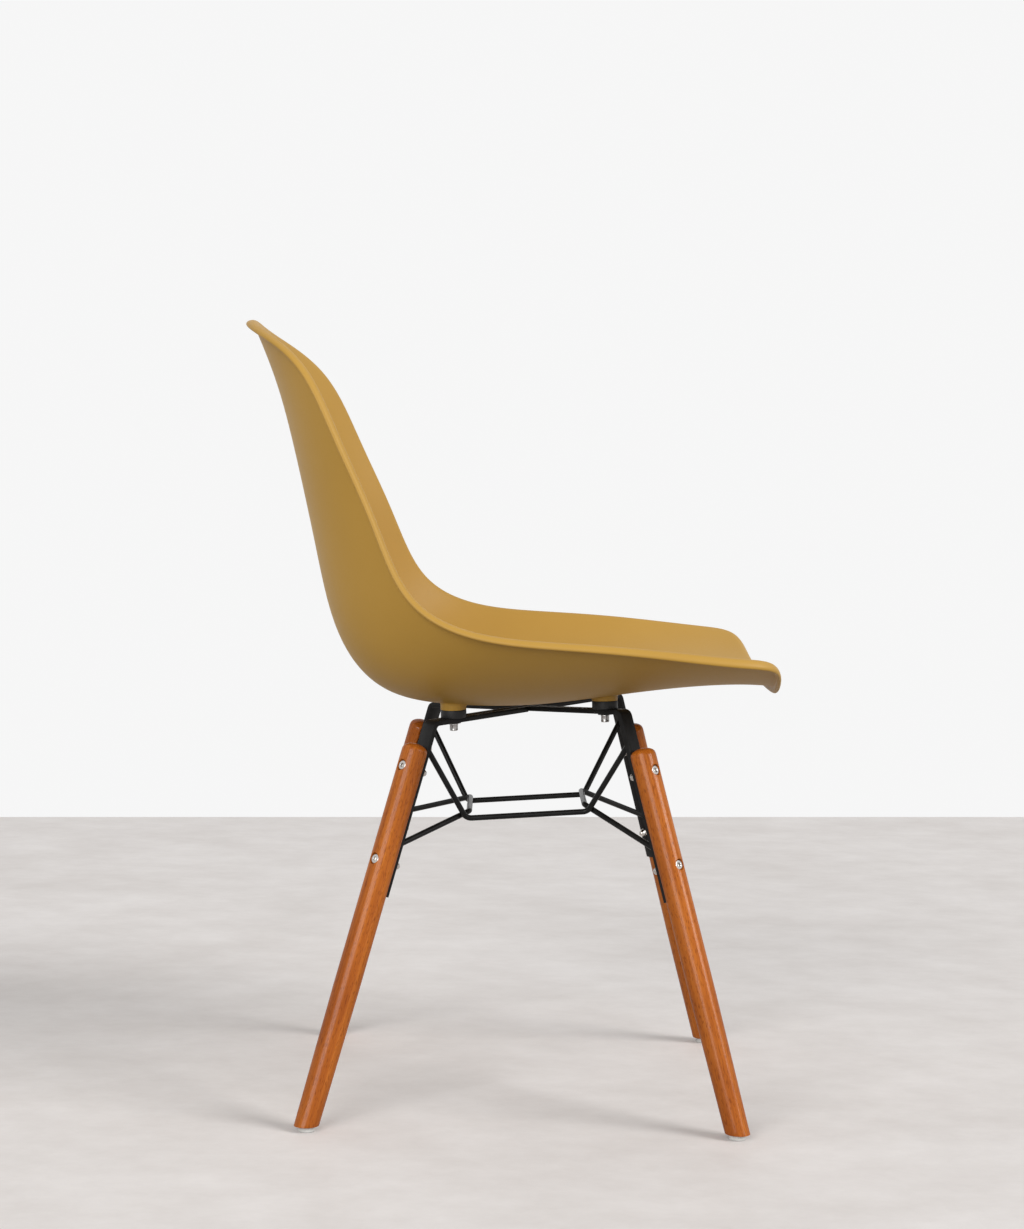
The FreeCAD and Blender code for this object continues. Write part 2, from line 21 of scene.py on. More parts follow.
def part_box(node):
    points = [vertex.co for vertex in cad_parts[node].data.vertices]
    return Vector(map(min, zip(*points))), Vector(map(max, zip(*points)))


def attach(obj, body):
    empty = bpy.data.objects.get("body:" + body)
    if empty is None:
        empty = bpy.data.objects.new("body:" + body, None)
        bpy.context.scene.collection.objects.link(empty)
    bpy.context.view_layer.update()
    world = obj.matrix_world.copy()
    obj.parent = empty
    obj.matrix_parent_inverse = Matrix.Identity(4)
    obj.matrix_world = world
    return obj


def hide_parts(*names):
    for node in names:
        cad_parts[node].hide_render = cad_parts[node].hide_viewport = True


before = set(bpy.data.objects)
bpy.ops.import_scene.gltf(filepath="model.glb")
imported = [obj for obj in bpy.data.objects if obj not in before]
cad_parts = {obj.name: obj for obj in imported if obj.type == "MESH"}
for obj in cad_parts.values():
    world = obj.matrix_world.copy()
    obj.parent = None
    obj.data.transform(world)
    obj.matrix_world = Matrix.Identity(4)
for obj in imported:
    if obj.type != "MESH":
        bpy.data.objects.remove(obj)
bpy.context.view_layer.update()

LOG = logging.getLogger("shell_chair")
ROOT = "root"
QUARTER = math.pi / 2
MILLI = 1000.0  # Millimetres in a metre.
CREASE = 35.0  # Edges sharper than this many degrees stay sharp.
WHITE = (1.0, 1.0, 1.0)
SAME_POINT = 1e-7  # Points of a drafted mesh this close are one.
TREE_POINT = 1e-6  # The same inside a geometry tree.
CUT_POINT = 2e-6  # The same in a mesh that was cut, or read off the frame.

Material = bpy.types.Material
Mesh = bpy.types.Mesh
Piece = bpy.types.Object
Socket = bpy.types.NodeSocket
Value = Union[Socket, float, int, tuple, str, bool, bpy.types.ID]
Inputs = Optional[dict[Union[str, int], Value]]
Triple = tuple[float, float, float]
Colour = Triple
Span = tuple[float, float]


class Corner(enum.Enum):
    """Corners of the base as (side, end): +1 is the sitter's left, and +1 is the rear."""

    FRONT_LEFT = (1, -1)
    FRONT_RIGHT = (-1, -1)
    REAR_LEFT = (1, 1)
    REAR_RIGHT = (-1, 1)

    @property
    def label(self) -> str:
        """Name of the corner as the nodes spell it."""
        return self.name.lower()


class Side(enum.Enum):
    """Long sides of the frame, each with its front and its rear corner."""

    LEFT = (Corner.FRONT_LEFT, Corner.REAR_LEFT)
    RIGHT = (Corner.FRONT_RIGHT, Corner.REAR_RIGHT)


class End(enum.Enum):
    """Short ends of the frame, each with its left and its right corner."""

    FRONT = (Corner.FRONT_LEFT, Corner.FRONT_RIGHT)
    REAR = (Corner.REAR_LEFT, Corner.REAR_RIGHT)


class Sketch:
    """Short way to add nodes to a tree and join them."""

    def __init__(self, tree: bpy.types.NodeTree) -> None:
        """Keep the tree that the nodes go into."""
        self.tree = tree

    def add(self, kind: str, inputs: Inputs = None, **settings: Value) -> bpy.types.Node:
        """Add one node.

        Args:
            kind: Type of the node.
            inputs: Constants or sockets for its inputs, by name or by number.
            settings: Options of the node itself.

        Returns:
            The new node.
        """
        node = self.tree.nodes.new(kind)
        for name, value in settings.items():
            setattr(node, name, value)
        for key, value in (inputs or {}).items():
            self.feed(node.inputs[key], value)
        return node

    def get(self, kind: str, inputs: Inputs = None, **settings: Value) -> Socket:
        """First output of a new node."""
        return self.add(kind, inputs, **settings).outputs[0]

    def feed(self, socket: Socket, value: Value) -> None:
        """Join a socket to another one, or give it a constant."""
        if isinstance(value, Socket):
            self.tree.links.new(value, socket)
        elif isinstance(value, tuple) and socket.type == "RGBA" and len(value) == 3:
            socket.default_value = (*value, 1.0)
        else:
            socket.default_value = value

    def math(self, operation: str, *values: Value) -> Socket:
        """Result of a math node on up to three values."""
        return self.get("ShaderNodeMath", dict(enumerate(values)), operation=operation)

    def plus(self, first: Value, second: Value) -> Socket:
        """Sum of two numbers."""
        return self.math("ADD", first, second)

    def minus(self, first: Value, second: Value) -> Socket:
        """First number less the second."""
        return self.math("SUBTRACT", first, second)

    def times(self, first: Value, second: Value) -> Socket:
        """Product of two numbers."""
        return self.math("MULTIPLY", first, second)

    def blend(self, first: Value, second: Value, share: float) -> Socket:
        """A share of the first number and the rest of the second."""
        return self.plus(self.times(first, share), self.times(second, 1.0 - share))

    def spread(self, value: Value, low: Value, high: Value,
               start: Value = 0.0, stop: Value = 1.0) -> Socket:
        """Number that goes from low to high while a value goes from start to stop."""
        return self.get("ShaderNodeMapRange", {0: value, 1: start, 2: stop, 3: low, 4: high})

    def combine(self, x: Value = 0.0, y: Value = 0.0, z: Value = 0.0) -> Socket:
        """Vector from three numbers."""
        return self.get("ShaderNodeCombineXYZ", {0: x, 1: y, 2: z})

    def ramp(self, factor: Value, *stops: tuple[float, Colour]) -> Socket:
        """Colour from a number, blended through stops of place and colour."""
        node = self.add("ShaderNodeValToRGB", {0: factor})
        elements = node.color_ramp.elements
        while len(elements) < len(stops):
            elements.new(0.5)
        for element, (place, colour) in zip(elements, stops):
            element.position = place
            element.color = (*colour, 1.0)
        return node.outputs["Color"]

    def on_rays(self, *kinds: str) -> Socket:
        """One on light paths of the given kinds, and zero on all others."""
        rays = self.add("ShaderNodeLightPath").outputs
        seen = rays[kinds[0]]
        for kind in kinds[1:]:
            seen = self.math("MAXIMUM", seen, rays[kind])
        return seen


class GrowingTree(Sketch):
    """Geometry tree with named inputs, built once and used for one or more pieces."""

    KINDS = {int: "NodeSocketInt", float: "NodeSocketFloat"}

    def __init__(self, name: str, sizes: dict[str, Union[int, float]]) -> None:
        """Start the tree.

        Args:
            name: Name of the tree.
            sizes: Named inputs and their values; whole numbers are counts, the rest metres or
                radians.
        """
        super().__init__(bpy.data.node_groups.new(name, "GeometryNodeTree"))
        face = self.tree.interface
        face.new_socket(name="Geometry", in_out="INPUT", socket_type="NodeSocketGeometry")
        for title, value in sizes.items():
            face.new_socket(name=title, in_out="INPUT", socket_type=self.KINDS[type(value)])
        face.new_socket(name="Finish", in_out="INPUT", socket_type="NodeSocketMaterial")
        face.new_socket(name="Geometry", in_out="OUTPUT", socket_type="NodeSocketGeometry")
        self.sizes = sizes
        self.given = self.tree.nodes.new("NodeGroupInput").outputs

    def half(self, title: str) -> Socket:
        """Half of a named input."""
        return self.times(self.given[title], 0.5)

    def here(self) -> bpy.types.bpy_prop_collection:
        """X, Y and Z of the point in hand."""
        place = self.get("GeometryNodeInputPosition")
        return self.add("ShaderNodeSeparateXYZ", {0: place}).outputs

    def circle(self, sides: Value, radius: Value) -> Socket:
        """Round profile."""
        return self.get("GeometryNodeCurvePrimitiveCircle", {"Resolution": sides, "Radius": radius})

    def filleted(self, course: Value, steps: Value, radius: Value) -> Socket:
        """Curve with its corners rounded."""
        inputs = {"Curve": course, "Count": steps, "Radius": radius}
        return self.get("GeometryNodeFilletCurve", inputs, mode="POLY")

    def swept(self, course: Value, profile: Value, **more: Value) -> Socket:
        """Closed solid of a profile along a course."""
        return self.get("GeometryNodeCurveToMesh",
                        {"Curve": course, "Profile Curve": profile, "Fill Caps": True, **more})

    def merged(self, shape: Value) -> Socket:
        """Shape with its doubled points made one."""
        inputs = {"Geometry": shape, "Distance": TREE_POINT}
        return self.get("GeometryNodeMergeByDistance", inputs)

    def shifted(self, shape: Value, spot: Value, turn: Optional[Value] = None) -> Socket:
        """Shape turned by angles about X, Y and Z where they are given, and then moved."""
        inputs = {"Geometry": shape, "Translation": spot}
        if turn is not None:
            inputs["Rotation"] = self.get("FunctionNodeEulerToRotation", {0: turn})
        return self.get("GeometryNodeTransform", inputs)

    def on_places(self, shape: Socket, seed: int = 3) -> Socket:
        """One copy of a shape on every point of the base mesh, turned as its "turn" attribute says.

        Args:
            shape: The geometry to repeat.
            seed: Seed of the chance turn of each copy about its own axis.

        Returns:
            The copies.
        """
        turn = self.get("GeometryNodeInputNamedAttribute", {"Name": "turn"}, data_type="QUATERNION")
        copies = self.get("GeometryNodeInstanceOnPoints",
                          {"Points": self.given["Geometry"], "Instance": shape, "Rotation": turn})
        chance = self.add("FunctionNodeRandomValue", {2: 0.0, 3: 1.0, "Seed": seed})
        spin = self.combine(z=self.times(chance.outputs[1], math.tau))
        return self.get("GeometryNodeRotateInstances",
                        {"Instances": copies, "Rotation": spin, "Local Space": True})

    def close(self, shape: Socket) -> None:
        """End the tree: copies made real, and the finish set."""
        real = self.get("GeometryNodeRealizeInstances", {0: shape})
        inputs = {"Geometry": real, "Material": self.given["Finish"]}
        dressed = self.get("GeometryNodeSetMaterial", inputs)
        self.tree.links.new(dressed, self.tree.nodes.new("NodeGroupOutput").inputs[0])

    def grow(self, name: str, base: Mesh, finish: Material) -> Piece:
        """Plain mesh object that the tree makes from a base mesh.

        Args:
            name: Name of the piece.
            base: Points or lines that the tree starts from.
            finish: Material of the piece.

        Returns:
            The object, with no modifier on it.
        """
        holder = bpy.data.objects.new(name + "_base", base)
        bpy.context.scene.collection.objects.link(holder)
        modifier = holder.modifiers.new("tree", "NODES")
        modifier.node_group = self.tree
        values = {**self.sizes, "Finish": finish}
        for item in self.tree.interface.items_tree:
            if item.in_out == "INPUT" and item.name in values:
                modifier[item.identifier] = values[item.name]
        graph = bpy.context.evaluated_depsgraph_get()
        mesh = bpy.data.meshes.new_from_object(holder.evaluated_get(graph))
        bpy.data.objects.remove(holder)
        mesh.name = name
        return place_piece(name, mesh, finish)


class TurnedTree(GrowingTree):
    """Tree for a round piece turned about Z, as a stack of rings."""

    shape: Socket
    top: Value

    def start(self, radius: Value, height: Value, sides: int = 48) -> None:
        """Begin with a filled ring of the given radius and height."""
        inputs = {"Vertices": sides, "Radius": 1.0}
        self.shape = self.get("GeometryNodeMeshCircle", inputs, fill_type="NGON")
        self.top = True
        self.move(radius, height, False)

    def bearing(self) -> Socket:
        """Angle of the point in hand about Z."""
        x, y, _ = self.here()
        return self.math("ARCTAN2", y, x)

    def move(self, radius: Value, height: Value, hexagonal: bool) -> None:
        """Set the ring in hand to a radius, or to a hexagon of that inner radius, at a height."""
        angle, reach = self.bearing(), radius
        if hexagonal:
            sixth = math.pi / 3
            turn = self.minus(self.math("FLOORED_MODULO", angle, sixth), sixth / 2)
            reach = self.math("DIVIDE", radius, self.math("COSINE", turn))
        spot = self.combine(self.times(self.math("COSINE", angle), reach),
                            self.times(self.math("SINE", angle), reach), height)
        inputs = {"Geometry": self.shape, "Selection": self.top, "Position": spot}
        self.shape = self.get("GeometryNodeSetPosition", inputs)

    def ring(self, radius: Value, height: Value, hexagonal: bool = False) -> None:
        """Carry the wall on to a next ring."""
        inputs = {"Mesh": self.shape, "Selection": self.top, "Offset Scale": 0.0,
                  "Individual": False}
        grown = self.add("GeometryNodeExtrudeMesh", inputs)
        self.shape, self.top = grown.outputs["Mesh"], grown.outputs["Top"]
        self.move(radius, height, hexagonal)

    def rounded(self, radius: Value, height: Value, edge: Value, rising: bool,
                steps: int = 3) -> None:
        """Round an outer edge from a rising wall over to a flat face, or from a face to a wall.

        Args:
            radius: Outer radius of the piece.
            height: Height of the flat face.
            edge: Radius of the rounding.
            rising: True where the wall comes up to a flat top, False where the flat bottom turns
                up.
            steps: Rings in the rounding.
        """
        for step in range(steps + 1):
            angle = QUARTER * step / steps
            level, plumb = 1 - math.cos(angle), 1 - math.sin(angle)
            inward, lift = (level, -plumb) if rising else (plumb, level)
            self.ring(self.minus(radius, self.times(edge, inward)),
                      self.plus(height, self.times(edge, lift)))

    def knurled(self, radius: Value, ridges: int, depth: float = 0.06) -> Socket:
        """Radius that dips by a share between even ridges round the piece."""
        wave = self.math("COSINE", self.times(self.bearing(), float(ridges)))
        dip = self.times(self.minus(wave, 1.0), depth / 2)
        return self.times(radius, self.plus(dip, 1.0))

    def done(self, hollow: bool = False) -> Socket:
        """Finished shape; a hollow one has its two end faces taken out and its ends joined."""
        if hollow:
            first = self.get("FunctionNodeCompare", {2: self.get("GeometryNodeInputIndex"), 3: 0},
                             data_type="INT", operation="EQUAL")
            ends = self.get("FunctionNodeBooleanMath", {0: first, 1: self.top}, operation="OR")
            self.shape = self.get("GeometryNodeDeleteGeometry", {0: self.shape, "Selection": ends},
                                  domain="FACE", mode="ONLY_FACE")
        return self.merged(self.shape)


@dataclass(frozen=True)
class Noise:
    """Scale, detail and roughness of a noise, and what the axes of its place are scaled by."""

    scale: float = 1.0
    detail: float = 2.0
    rough: float = 0.5
    axes: Optional[Triple] = None


class Look(Sketch):
    """Material with one shader, and the usual nodes before it."""

    def __init__(self, name: str) -> None:
        """Start a material with an empty tree and a shader."""
        self.material = bpy.data.materials.new(name)
        self.material.use_nodes = True
        super().__init__(self.material.node_tree)
        self.tree.nodes.clear()
        self.shader = self.add("ShaderNodeBsdfPrincipled")
        self.add("ShaderNodeOutputMaterial", {"Surface": self.shader.outputs[0]})

    def wear(self, inputs: dict[str, Value]) -> None:
        """Give the shader its inputs."""
        for name, value in inputs.items():
            self.feed(self.shader.inputs[name], value)

    def place(self) -> Socket:
        """Place on the piece in metres."""
        return self.add("ShaderNodeTexCoord").outputs["Object"]

    def noise(self, place: Value, noise: Noise) -> Socket:
        """Number between 0 and 1 that varies over the surface."""
        if noise.axes:
            place = self.get("ShaderNodeMapping", {0: place, 3: noise.axes})
        inputs = {"Vector": place, "Scale": noise.scale, "Detail": noise.detail,
                  "Roughness": noise.rough}
        return self.get("ShaderNodeTexNoise", inputs)

    def mixed(self, share: Value, first: Value, second: Value, kind: str = "MIX") -> Socket:
        """Second colour over the first by a share."""
        inputs = {"Factor": share, 6: first, 7: second}
        return self.add("ShaderNodeMix", inputs, data_type="RGBA", blend_type=kind).outputs[2]

    def bump(self, height: Value, strength: float, depth: float) -> None:
        """Raise the surface a little by a height."""
        inputs = {"Height": height, "Strength": strength, "Distance": depth}
        self.wear({"Normal": self.get("ShaderNodeBump", inputs)})


@dataclass(frozen=True)
class Finish(abc.ABC):
    """A named finish."""

    name: str

    @abc.abstractmethod
    def build(self) -> Material:
        """Make the material."""


@dataclass(frozen=True)
class MouldedPlastic(Finish):
    """Matte polypropylene with the fine eroded texture of its mould."""

    pale: Colour
    deep: Colour
    clouds: Noise = Noise(7.0, 3.0)
    grit: Noise = Noise(1500.0, 2.0, 0.6)
    skin: Noise = Noise(420.0, 1.0)
    cloud_share: float = 0.8
    grit_share: float = 0.6
    stops: Span = (0.3, 0.7)
    rough: Span = (0.45, 0.57)
    ior: float = 1.49
    specular: float = 0.36
    relief: float = 0.25
    depth: float = 0.00025

    def build(self) -> Material:
        """Material for the shell."""
        look = Look(self.name)
        place = look.place()
        grit, skin = look.noise(place, self.grit), look.noise(place, self.skin)
        tone = look.blend(look.noise(place, self.clouds), grit, self.cloud_share)
        low, high = self.stops
        look.wear({"Base Color": look.ramp(tone, (low, self.deep), (high, self.pale)),
                   "Roughness": look.spread(skin, *self.rough),
                   "IOR": self.ior, "Specular IOR Level": self.specular})
        look.bump(look.blend(grit, skin, self.grit_share), self.relief, self.depth)
        return look.material


@dataclass(frozen=True)
class StainedWood(Finish):
    """Stained beech under a satin lacquer, its grain along Z of the "grain" attribute."""

    dark: Colour
    middle: Colour
    light: Colour
    wander: Noise = Noise(detail=2.0, axes=(9.0, 9.0, 2.2))
    bands: Noise = Noise(detail=4.0, rough=0.55, axes=(170.0, 60.0, 4.0))
    fibres: Noise = Noise(detail=3.0, rough=0.6, axes=(900.0, 900.0, 22.0))
    flecks: Noise = Noise(detail=1.0, axes=(1300.0, 600.0, 170.0))
    stains: Noise = Noise(detail=3.0, axes=(22.0, 22.0, 8.0))
    wander_reach: float = 0.012
    band_share: float = 0.62
    stops: Triple = (0.34, 0.5, 0.66)
    fleck_tone: Colour = (0.66, 0.58, 0.52)
    fleck_stops: Span = (0.33, 0.42)
    stain_tone: Colour = (0.74, 0.66, 0.60)
    stain_stops: Span = (0.3, 0.62)
    rough: Span = (0.36, 0.5)
    specular: float = 0.0
    lacquer: float = 0.45
    lacquer_rough: float = 0.2
    lacquer_ior: float = 1.45
    fibre_share: float = 0.7
    relief: float = 0.22
    depth: float = 0.0003

    def build(self) -> Material:
        """Material for the dowels."""
        look = Look(self.name)
        place = look.add("ShaderNodeAttribute", attribute_name="grain").outputs["Vector"]
        push = look.combine(look.times(look.noise(place, self.wander), self.wander_reach))
        pushed = look.get("ShaderNodeVectorMath", {0: place, 1: push}, operation="ADD")
        band, fibre, fleck = (look.noise(pushed, noise)
                              for noise in (self.bands, self.fibres, self.flecks))
        tone = look.ramp(look.blend(band, fibre, self.band_share),
                         *zip(self.stops, (self.dark, self.middle, self.light)))
        stain = look.noise(place, self.stains)
        for value, (low, high), shade in ((fleck, self.fleck_stops, self.fleck_tone),
                                          (stain, self.stain_stops, self.stain_tone)):
            tint = look.ramp(value, (low, shade), (high, WHITE))
            tone = look.mixed(1.0, tone, tint, "MULTIPLY")
        look.wear({"Base Color": tone, "Roughness": look.spread(fibre, *self.rough),
                   "Specular IOR Level": self.specular, "Coat Weight": self.lacquer,
                   "Coat Roughness": self.lacquer_rough, "Coat IOR": self.lacquer_ior})
        look.bump(look.blend(fibre, fleck, self.fibre_share), self.relief, self.depth)
        return look.material


@dataclass(frozen=True)
class EvenFinish(Finish):
    """One colour that drifts a little in tone and gloss, over a fine relief."""

    colour: Colour
    rough: float
    relief: float = 0.3
    depth: float = 0.0002
    drift: Noise = Noise(90.0, 3.0)
    grain: Noise = Noise(900.0)
    stops: Span = (0.3, 0.7)
    tones: Span = (0.8, 1.0)
    lift: float = 0.0
    gloss: Span = (-0.08, 0.05)
    specular: float = 0.5
    metallic: float = 0.0

    def build(self) -> Material:
        """Material in the colour."""
        look = Look(self.name)
        place = look.place()
        drift = look.noise(place, self.drift)
        low, high = self.tones
        ends = (tuple(c * low for c in self.colour),
                tuple(min(1.0, c * high + self.lift) for c in self.colour))
        look.wear({"Base Color": look.ramp(drift, *zip(self.stops, ends)),
                   "Roughness": look.spread(drift, *(self.rough + step for step in self.gloss)),
                   "Specular IOR Level": self.specular, "Metallic": self.metallic})
        look.bump(look.noise(place, self.grain), self.relief, self.depth)
        return look.material


@dataclass(frozen=True)
class CoatedSteel(EvenFinish):
    """Steel under a dark coat with a slight orange peel."""

    drift: Noise = Noise(60.0, 4.0, 0.6)
    grain: Noise = Noise(700.0, 1.5)
    stops: Span = (0.35, 0.75)
    tones: Span = (1.0, 1.7)
    lift: float = 0.004
    gloss: Span = (-0.06, 0.1)
    specular: float = 0.13


@dataclass(frozen=True)
class PlatedMetal(EvenFinish):
    """Bare or plated metal with fine turning marks."""

    relief: float = 0.15
    depth: float = 0.00008
    drift: Noise = Noise(350.0, 3.0, 0.6)
    grain: Noise = Noise(3200.0, 1.0)
    tones: Span = (0.82, 1.0)
    gloss: Span = (-0.08, 0.12)
    metallic: float = 1.0


@dataclass(frozen=True)
class SoftMoulding(EvenFinish):
    """Rubber or nylon with a dull, slightly uneven skin."""

    specular: float = 0.3


@dataclass(frozen=True)
class StudioFloor(Finish):
    """Pale mottled floor, which throws back less light than it shows."""

    low: Colour
    high: Colour
    bounce: Colour
    clouds: Noise = Noise(2.4, 4.0, 0.6)
    streaks: Noise = Noise(8.0, 8.0, 0.7, (1.4, 1.0, 1.0))
    cloud_share: float = 0.4
    stops: Span = (0.36, 0.64)
    rough: float = 0.6
    specular: float = 0.2

    def build(self) -> Material:
        """Material for the floor."""
        look = Look(self.name)
        place = look.place()
        tone = look.blend(look.noise(place, self.clouds), look.noise(place, self.streaks),
                          self.cloud_share)
        mottle = look.ramp(tone, *zip(self.stops, (self.low, self.high)))
        seen = look.on_rays("Is Camera Ray", "Is Glossy Ray")
        look.wear({"Base Color": look.mixed(seen, self.bounce, mottle),
                   "Roughness": self.rough, "Specular IOR Level": self.specular})
        return look.material


@dataclass(frozen=True)
class Palette:
    """Every finish of the chair."""

    shell: Finish = MouldedPlastic("mustard_polypropylene", pale=(0.482, 0.272, 0.046),
                                   deep=(0.444, 0.248, 0.040))
    wood: Finish = StainedWood("stained_beech", dark=(0.335, 0.080, 0.009),
                               middle=(0.455, 0.124, 0.014), light=(0.57, 0.178, 0.024))
    bars: Finish = CoatedSteel("black_powder_coat", (0.008, 0.008, 0.008), 0.4)
    rods: Finish = CoatedSteel("black_gloss_coat", (0.007, 0.007, 0.007), 0.28, relief=0.12)
    washers: Finish = CoatedSteel("black_oxide", (0.02, 0.019, 0.018), 0.45, relief=0.1)
    nickel: Finish = PlatedMetal("bright_nickel", (0.60, 0.575, 0.545), 0.22)
    zinc: Finish = PlatedMetal("clear_zinc", (0.42, 0.41, 0.40), 0.28)
    rubber: Finish = SoftMoulding("black_rubber", (0.012, 0.012, 0.012), 0.5)
    nylon: Finish = SoftMoulding("pale_nylon", (0.72, 0.71, 0.68), 0.42)
    brass: Finish = PlatedMetal("turned_brass", (0.82, 0.62, 0.30), 0.3)
    floor: Finish = StudioFloor("pale_floor", low=(0.73, 0.685, 0.655), high=(0.85, 0.81, 0.785),
                                bounce=(0.22, 0.205, 0.19))


def place_piece(name: str, mesh: Mesh, finish: Material) -> Piece:
    """Object at the origin for a finished mesh, linked to the scene, with one finish."""
    mesh.materials.clear()
    mesh.materials.append(finish)
    piece = bpy.data.objects.new(name, mesh)
    bpy.context.scene.collection.objects.link(piece)
    return piece


def smooth(mesh: Mesh, angle: float = CREASE) -> None:
    """Smooth the faces, and keep edges sharper than an angle in degrees."""
    mesh.shade_smooth()
    mesh.set_sharp_from_angle(angle=math.radians(angle))


def round_edges(mesh: Mesh, edge: float, sharp: float, flat: float = 0.0) -> None:
    """Merge a mesh's points, round its sharp edges and smooth it.

    Args:
        mesh: The mesh, which is changed in place.
        edge: Width of the rounding.
        sharp: Angle in degrees over which an edge is sharp.
        flat: Angle in degrees under which faces are joined first, or 0 where they stay.
    """
    work = bmesh.new()
    work.from_mesh(mesh)
    bmesh.ops.remove_doubles(work, verts=work.verts, dist=CUT_POINT)
    if flat:
        bmesh.ops.dissolve_limit(work, angle_limit=math.radians(flat), verts=work.verts,
                                 edges=work.edges)
    least = math.radians(sharp)
    edges = [item for item in work.edges if item.is_manifold and item.calc_face_angle(0) > least]
    bmesh.ops.bevel(work, geom=edges, offset=edge, offset_type="OFFSET", segments=2, profile=0.5,
                    affect="EDGES", clamp_overlap=True)
    if flat:
        bmesh.ops.remove_doubles(work, verts=work.verts, dist=SAME_POINT)
    work.to_mesh(mesh)
    work.free()
    smooth(mesh)


def point_mesh(name: str, places: Sequence[Matrix]) -> Mesh:
    """Mesh of single points, each with the turn of its frame as an attribute."""
    mesh = bpy.data.meshes.new(name)
    mesh.from_pydata([place.translation for place in places], [], [])
    turn = mesh.attributes.new("turn", "QUATERNION", "POINT")
    for item, place in zip(turn.data, places):
        item.value = place.to_quaternion()
    return mesh


class Draft:
    """Vertices and faces of a mesh in the making."""

    def __init__(self) -> None:
        """Start empty."""
        self.points: list[Vector] = []
        self.faces: list[tuple[int, ...]] = []

    def loft(self, rings: Sequence[Sequence[Vector]]) -> None:
        """Closed skin through rings of equal count, with a fan over each end."""
        count = len(rings[0])
        first = len(self.points)
        for ring in rings:
            self.points += list(ring)
        for row in range(len(rings) - 1):
            a = first + row * count
            b = a + count
            self.faces += [(a + k, a + (k + 1) % count, b + (k + 1) % count, b + k)
                           for k in range(count)]
        for row, order in ((0, -1), (len(rings) - 1, 1)):
            start, hub = first + row * count, len(self.points)
            self.points.append(sum(rings[row], Vector()) / count)
            self.faces += [(hub, start + k, start + (k + 1) % count)[::order]
                           for k in range(count)]

    def mesh(self, name: str) -> Mesh:
        """Mesh with merged doubles and faces that point outwards."""
        made = bpy.data.meshes.new(name)
        made.from_pydata(self.points, [], self.faces)
        work = bmesh.new()
        work.from_mesh(made)
        bmesh.ops.remove_doubles(work, verts=work.verts, dist=SAME_POINT)
        bmesh.ops.recalc_face_normals(work, faces=work.faces)
        work.to_mesh(made)
        work.free()
        return made


def frame_at(place: Vector, x_axis: Vector, z_axis: Vector) -> Matrix:
    """Matrix with the given X and Z axes at a place."""
    turn = Matrix((x_axis, z_axis.cross(x_axis), z_axis)).transposed().to_4x4()
    return Matrix.Translation(place) @ turn


@dataclass(frozen=True)
class Layout:
    """Where legs, bosses and brackets stand, as the frame has them, and sizes that they share."""

    base_y: float
    foot_x: float
    foot_y: float
    leg_splay: float = math.radians(20.1)
    leg_length: float = 0.401
    leg_radius: float = 0.0135
    glide_height: float = 0.006
    strap_rise: float = 0.0307
    strap_thickness: float = 0.005
    frame_tilt: float = math.radians(4.4)
    bolt_reach: float = 0.1085
    bolt_steps: Span = (0.026, 0.126)
    screw_hole: float = 0.0055
    spacer_height: float = 0.0085

    @classmethod
    def from_frame(cls) -> "Layout":
        """Read the middles of the glides off the frame."""
        middles = {corner: sum(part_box("glide_" + corner.label), Vector()) / 2 for corner in Corner}
        base = sum(middles.values(), Vector()) / len(middles)
        foot = middles[Corner.REAR_LEFT] - base
        return cls(base.y, foot.x, foot.y)

    @property
    def strap_top(self) -> float:
        """Height of the straps' upper face over the middle of the base."""
        return self.glide_height + self.leg_length * math.cos(self.leg_splay) + self.strap_rise

    def diagonal(self, corner: Corner) -> tuple[Vector, Vector]:
        """Unit vectors of a corner's vertical plane: outwards along the floor, and across it."""
        side, end = corner.value
        angle = math.atan2(self.foot_y, self.foot_x)
        outward = Vector((side * math.cos(angle), end * math.sin(angle), 0))
        return outward, Vector((side * math.sin(angle), -end * math.cos(angle), 0))

    def foot(self, corner: Corner, height: float = 0.0) -> Vector:
        """Point on a foot's axis at a height over the floor, level with the foot's middle."""
        side, end = corner.value
        return Vector((side * self.foot_x, self.base_y + end * self.foot_y, height))

    def leg(self, corner: Corner) -> Matrix:
        """Frame at the top of a leg, with Z up along its axis and X away from the chair."""
        outward, _ = self.diagonal(corner)
        sine, cosine = math.sin(self.leg_splay), math.cos(self.leg_splay)
        axis = Vector((0, 0, cosine)) - outward * sine
        away = outward * cosine + Vector((0, 0, sine))
        top = self.foot(corner, self.glide_height) + axis * self.leg_length
        return frame_at(top, away, axis)

    def boss(self, corner: Corner) -> Matrix:
        """Frame on top of the strap under a boss, with Z up square to the strap."""
        outward, across = self.diagonal(corner)
        slope = -outward.y * math.tan(self.frame_tilt)
        along = Vector((outward.x, outward.y, slope)).normalized()
        up = along.cross(across)
        up = up if up.z > 0 else -up
        middle = Vector((0, self.base_y, self.strap_top))
        return frame_at(middle + along * self.bolt_reach, along, up)


def settle(piece: Piece, slot: str, *nodes: str) -> Piece:
    """Let a piece ride on the chair and stand for its nodes."""
    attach(piece, ROOT)
    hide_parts(*nodes)
    LOG.info("%s stands for %s, %d faces", piece.name, ", ".join(nodes), len(piece.data.polygons))
    return piece


